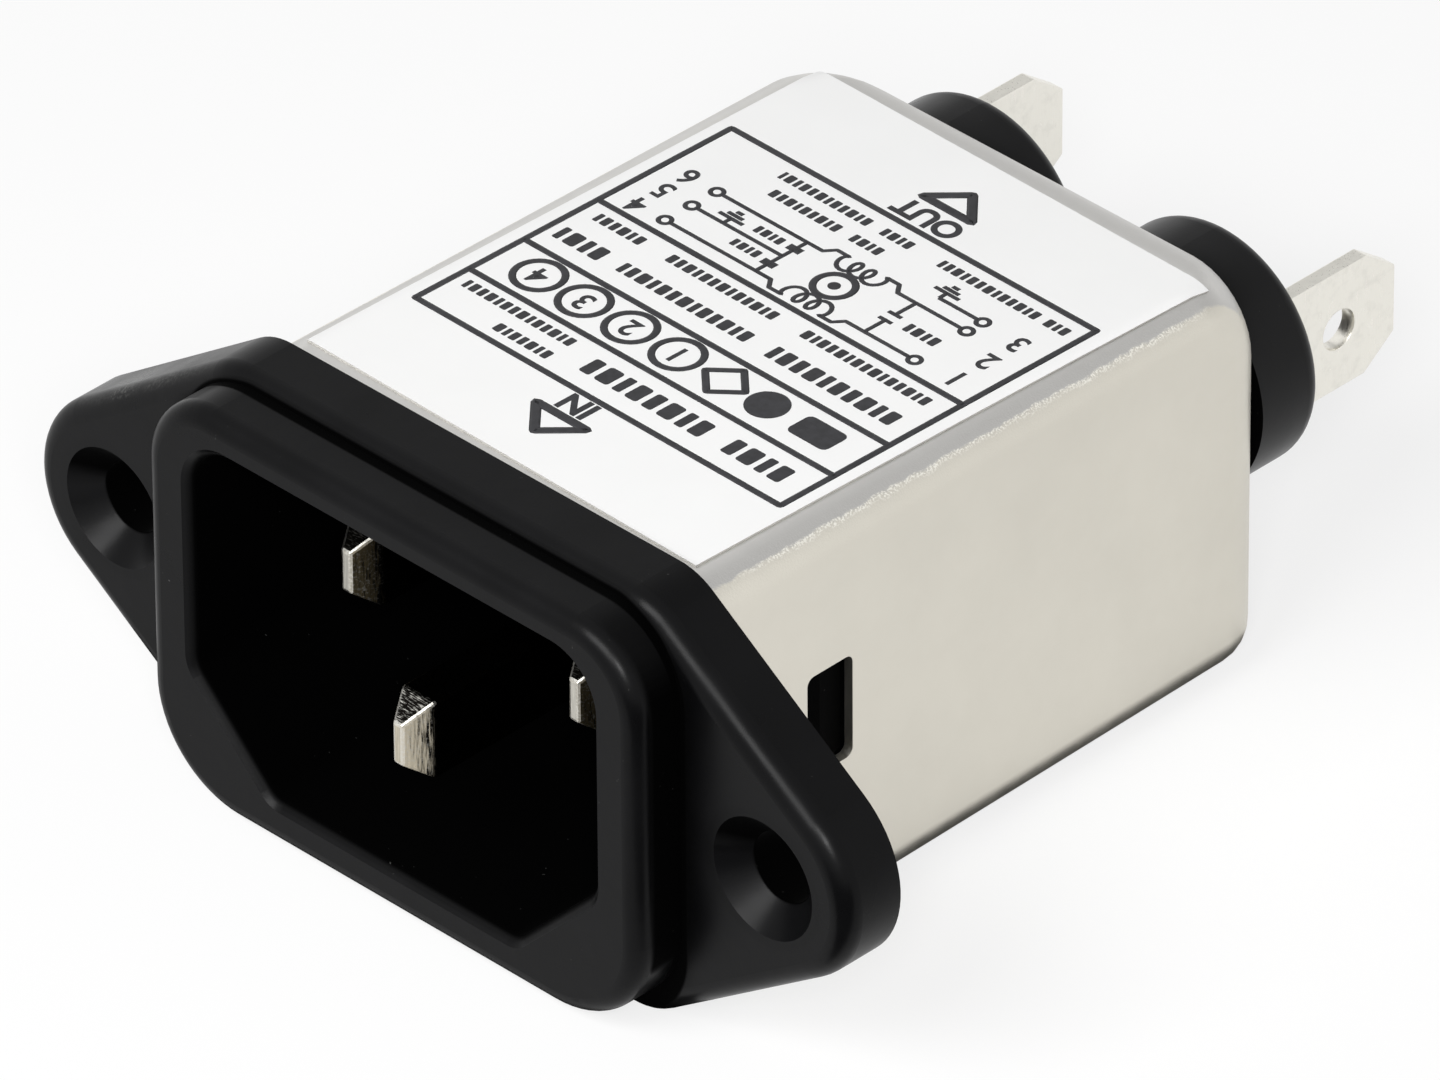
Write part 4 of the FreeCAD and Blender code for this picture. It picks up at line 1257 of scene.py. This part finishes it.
class INLET_OT_stage(bpy.types.Operator):
    """Make the floor, the cards, the soft light and the camera"""

    bl_idname = "inlet.stage"
    bl_label = "Stage"

    def execute(self, context):
        stage = context.scene.inlet_stage
        self.floor(stage)
        self.cards(stage)
        self.world(context.scene, stage)
        self.lights(stage)
        self.camera(context.scene, stage)
        context.scene.view_settings.view_transform = "Standard"
        return {"FINISHED"}

    def seen_directly(self, tree):
        """One where a ray comes from the camera, a reflection or a clear piece."""
        path = add_node(tree, "ShaderNodeLightPath")
        return largest(tree, path.outputs["Is Camera Ray"], path.outputs["Is Glossy Ray"],
                       path.outputs["Is Transmission Ray"])

    def glow(self, tree, strength):
        """White light of a strength."""
        node = add_node(tree, "ShaderNodeEmission", {"Color": WHITE, "Strength": strength})
        return node.outputs["Emission"]

    def floor(self, stage):
        """Pale floor that shows white and keeps a soft shadow."""
        bm = bmesh.new()
        bmesh.ops.create_grid(bm, x_segments=1, y_segments=1, size=FLOOR_HALF)
        bmesh.ops.translate(bm, vec=(0, 0, FLOOR_LEVEL), verts=bm.verts)
        mesh = mesh_from(bm, "floor")
        material, tree = new_material("pale_floor")
        matt = add_node(tree, "ShaderNodeBsdfDiffuse", {"Color": (*stage.floor_colour, 1)})
        share = product(tree, self.seen_directly(tree), FLOOR_WHITE)
        mixed = add_node(tree, "ShaderNodeMixShader", {
            "Fac": share, 1: matt.outputs["BSDF"], 2: self.glow(tree, 1.0)})
        mesh.materials.append(surfaced(material, mixed.outputs["Shader"]))
        show(mesh, "floor")

    def card(self, name, corners, shade):
        """Flat card between two corners that only reflections see, to keep them from washing out."""
        low, high = corners
        bm = bmesh.new()
        bmesh.ops.create_grid(bm, x_segments=1, y_segments=1, size=0.5)
        if low.y == high.y:
            bmesh.ops.rotate(bm, matrix=Matrix.Rotation(math.pi / 2, 3, "X"), verts=bm.verts)
        bmesh.ops.scale(bm, vec=high - low, verts=bm.verts)
        bmesh.ops.translate(bm, vec=(low + high) / 2, verts=bm.verts)
        mesh = mesh_from(bm, name)
        material, tree = new_material(name)
        mesh.materials.append(surfaced(material, self.glow(tree, shade)))
        card = show(mesh, name)
        card.visible_camera = False
        card.visible_diffuse = False
        card.visible_shadow = False
        card.visible_transmission = False

    def cards(self, stage):
        """Grey card behind the part, a dark card on the floor under it that stands in for the floor's shade
        in reflections, and a dark card before its right.
        """
        self.card("rear_card", REAR_CARD, stage.card_shade)
        self.card("under_shade_card", UNDER_SHADE_CARD, DARK_SHADE)
        self.card("right_card", RIGHT_CARD, DARK_SHADE)

    def world(self, scene, stage):
        """White surroundings that light the part weakly."""
        world = bpy.data.worlds.new("studio")
        world.use_nodes = True
        tree = world.node_tree
        tree.nodes.clear()
        strength = ranged(tree, self.seen_directly(tree), 0, 1, stage.ambient, 1)
        back = add_node(tree, "ShaderNodeBackground", {"Color": WHITE, "Strength": strength})
        add_node(tree, "ShaderNodeOutputWorld", {"Surface": back.outputs["Background"]})
        scene.world = world

    def lights(self, stage):
        """Wide softbox before the part and a small one beside the camera."""
        add_softbox("front_softbox", stage.front_power, FRONT_SOFTBOX)
        add_softbox("camera_softbox", stage.camera_power, CAMERA_SOFTBOX)

    def camera(self, scene, stage):
        """Camera at the photograph's angle."""
        turn = (Matrix.Rotation(stage.azimuth, 4, "Z")
                @ Matrix.Rotation(math.pi / 2 - stage.elevation, 4, "X")
                @ Matrix.Rotation(stage.roll, 4, "Z"))
        data = bpy.data.cameras.new("camera")
        data.sensor_width = SENSOR_WIDTH
        data.sensor_fit = "HORIZONTAL"
        data.lens = stage.lens
        camera = show(data, "camera")
        back = turn.to_3x3() @ Vector((0, 0, 1))
        camera.matrix_world = Matrix.Translation(Vector(stage.aim) + back * stage.distance) @ turn
        scene.camera = camera


class INLET_PT_panel(bpy.types.Panel):
    """Lists the inlet's settings and steps"""

    bl_idname = "INLET_PT_panel"
    bl_label = "Filtered Mains Inlet"
    bl_space_type = "VIEW_3D"
    bl_region_type = "UI"
    bl_category = "Inlet"

    def draw(self, context):
        for group in GROUPS:
            settings = getattr(context.scene, group)
            column = self.layout.column()
            for name in settings.bl_rna.properties.keys():
                if name not in ("rna_type", "name"):
                    column.prop(settings, name)
        for step in STEPS:
            self.layout.operator(step.bl_idname)


STEPS = (INLET_OT_mouldings, INLET_OT_can, INLET_OT_contacts, INLET_OT_label, INLET_OT_inner,
         INLET_OT_stage)
GROUPS = {"inlet_finish": InletFinish, "inlet_can": InletCan, "inlet_print": InletPrint,
          "inlet_stage": InletStage}


def register():
    for name, group in GROUPS.items():
        bpy.utils.register_class(group)
        setattr(bpy.types.Scene, name, PointerProperty(type=group))
    for cls in (*STEPS, INLET_PT_panel):
        bpy.utils.register_class(cls)


def unregister():
    for cls in (INLET_PT_panel, *reversed(STEPS)):
        bpy.utils.unregister_class(cls)
    for name, group in GROUPS.items():
        delattr(bpy.types.Scene, name)
        bpy.utils.unregister_class(group)


def main():
    """Register the classes and run each step."""
    register()
    bpy.ops.inlet.mouldings()
    bpy.ops.inlet.can()
    bpy.ops.inlet.contacts()
    bpy.ops.inlet.label()
    bpy.ops.inlet.inner()
    bpy.ops.inlet.stage()
    bpy.context.view_layer.update()


if __name__ == "__main__":
    main()
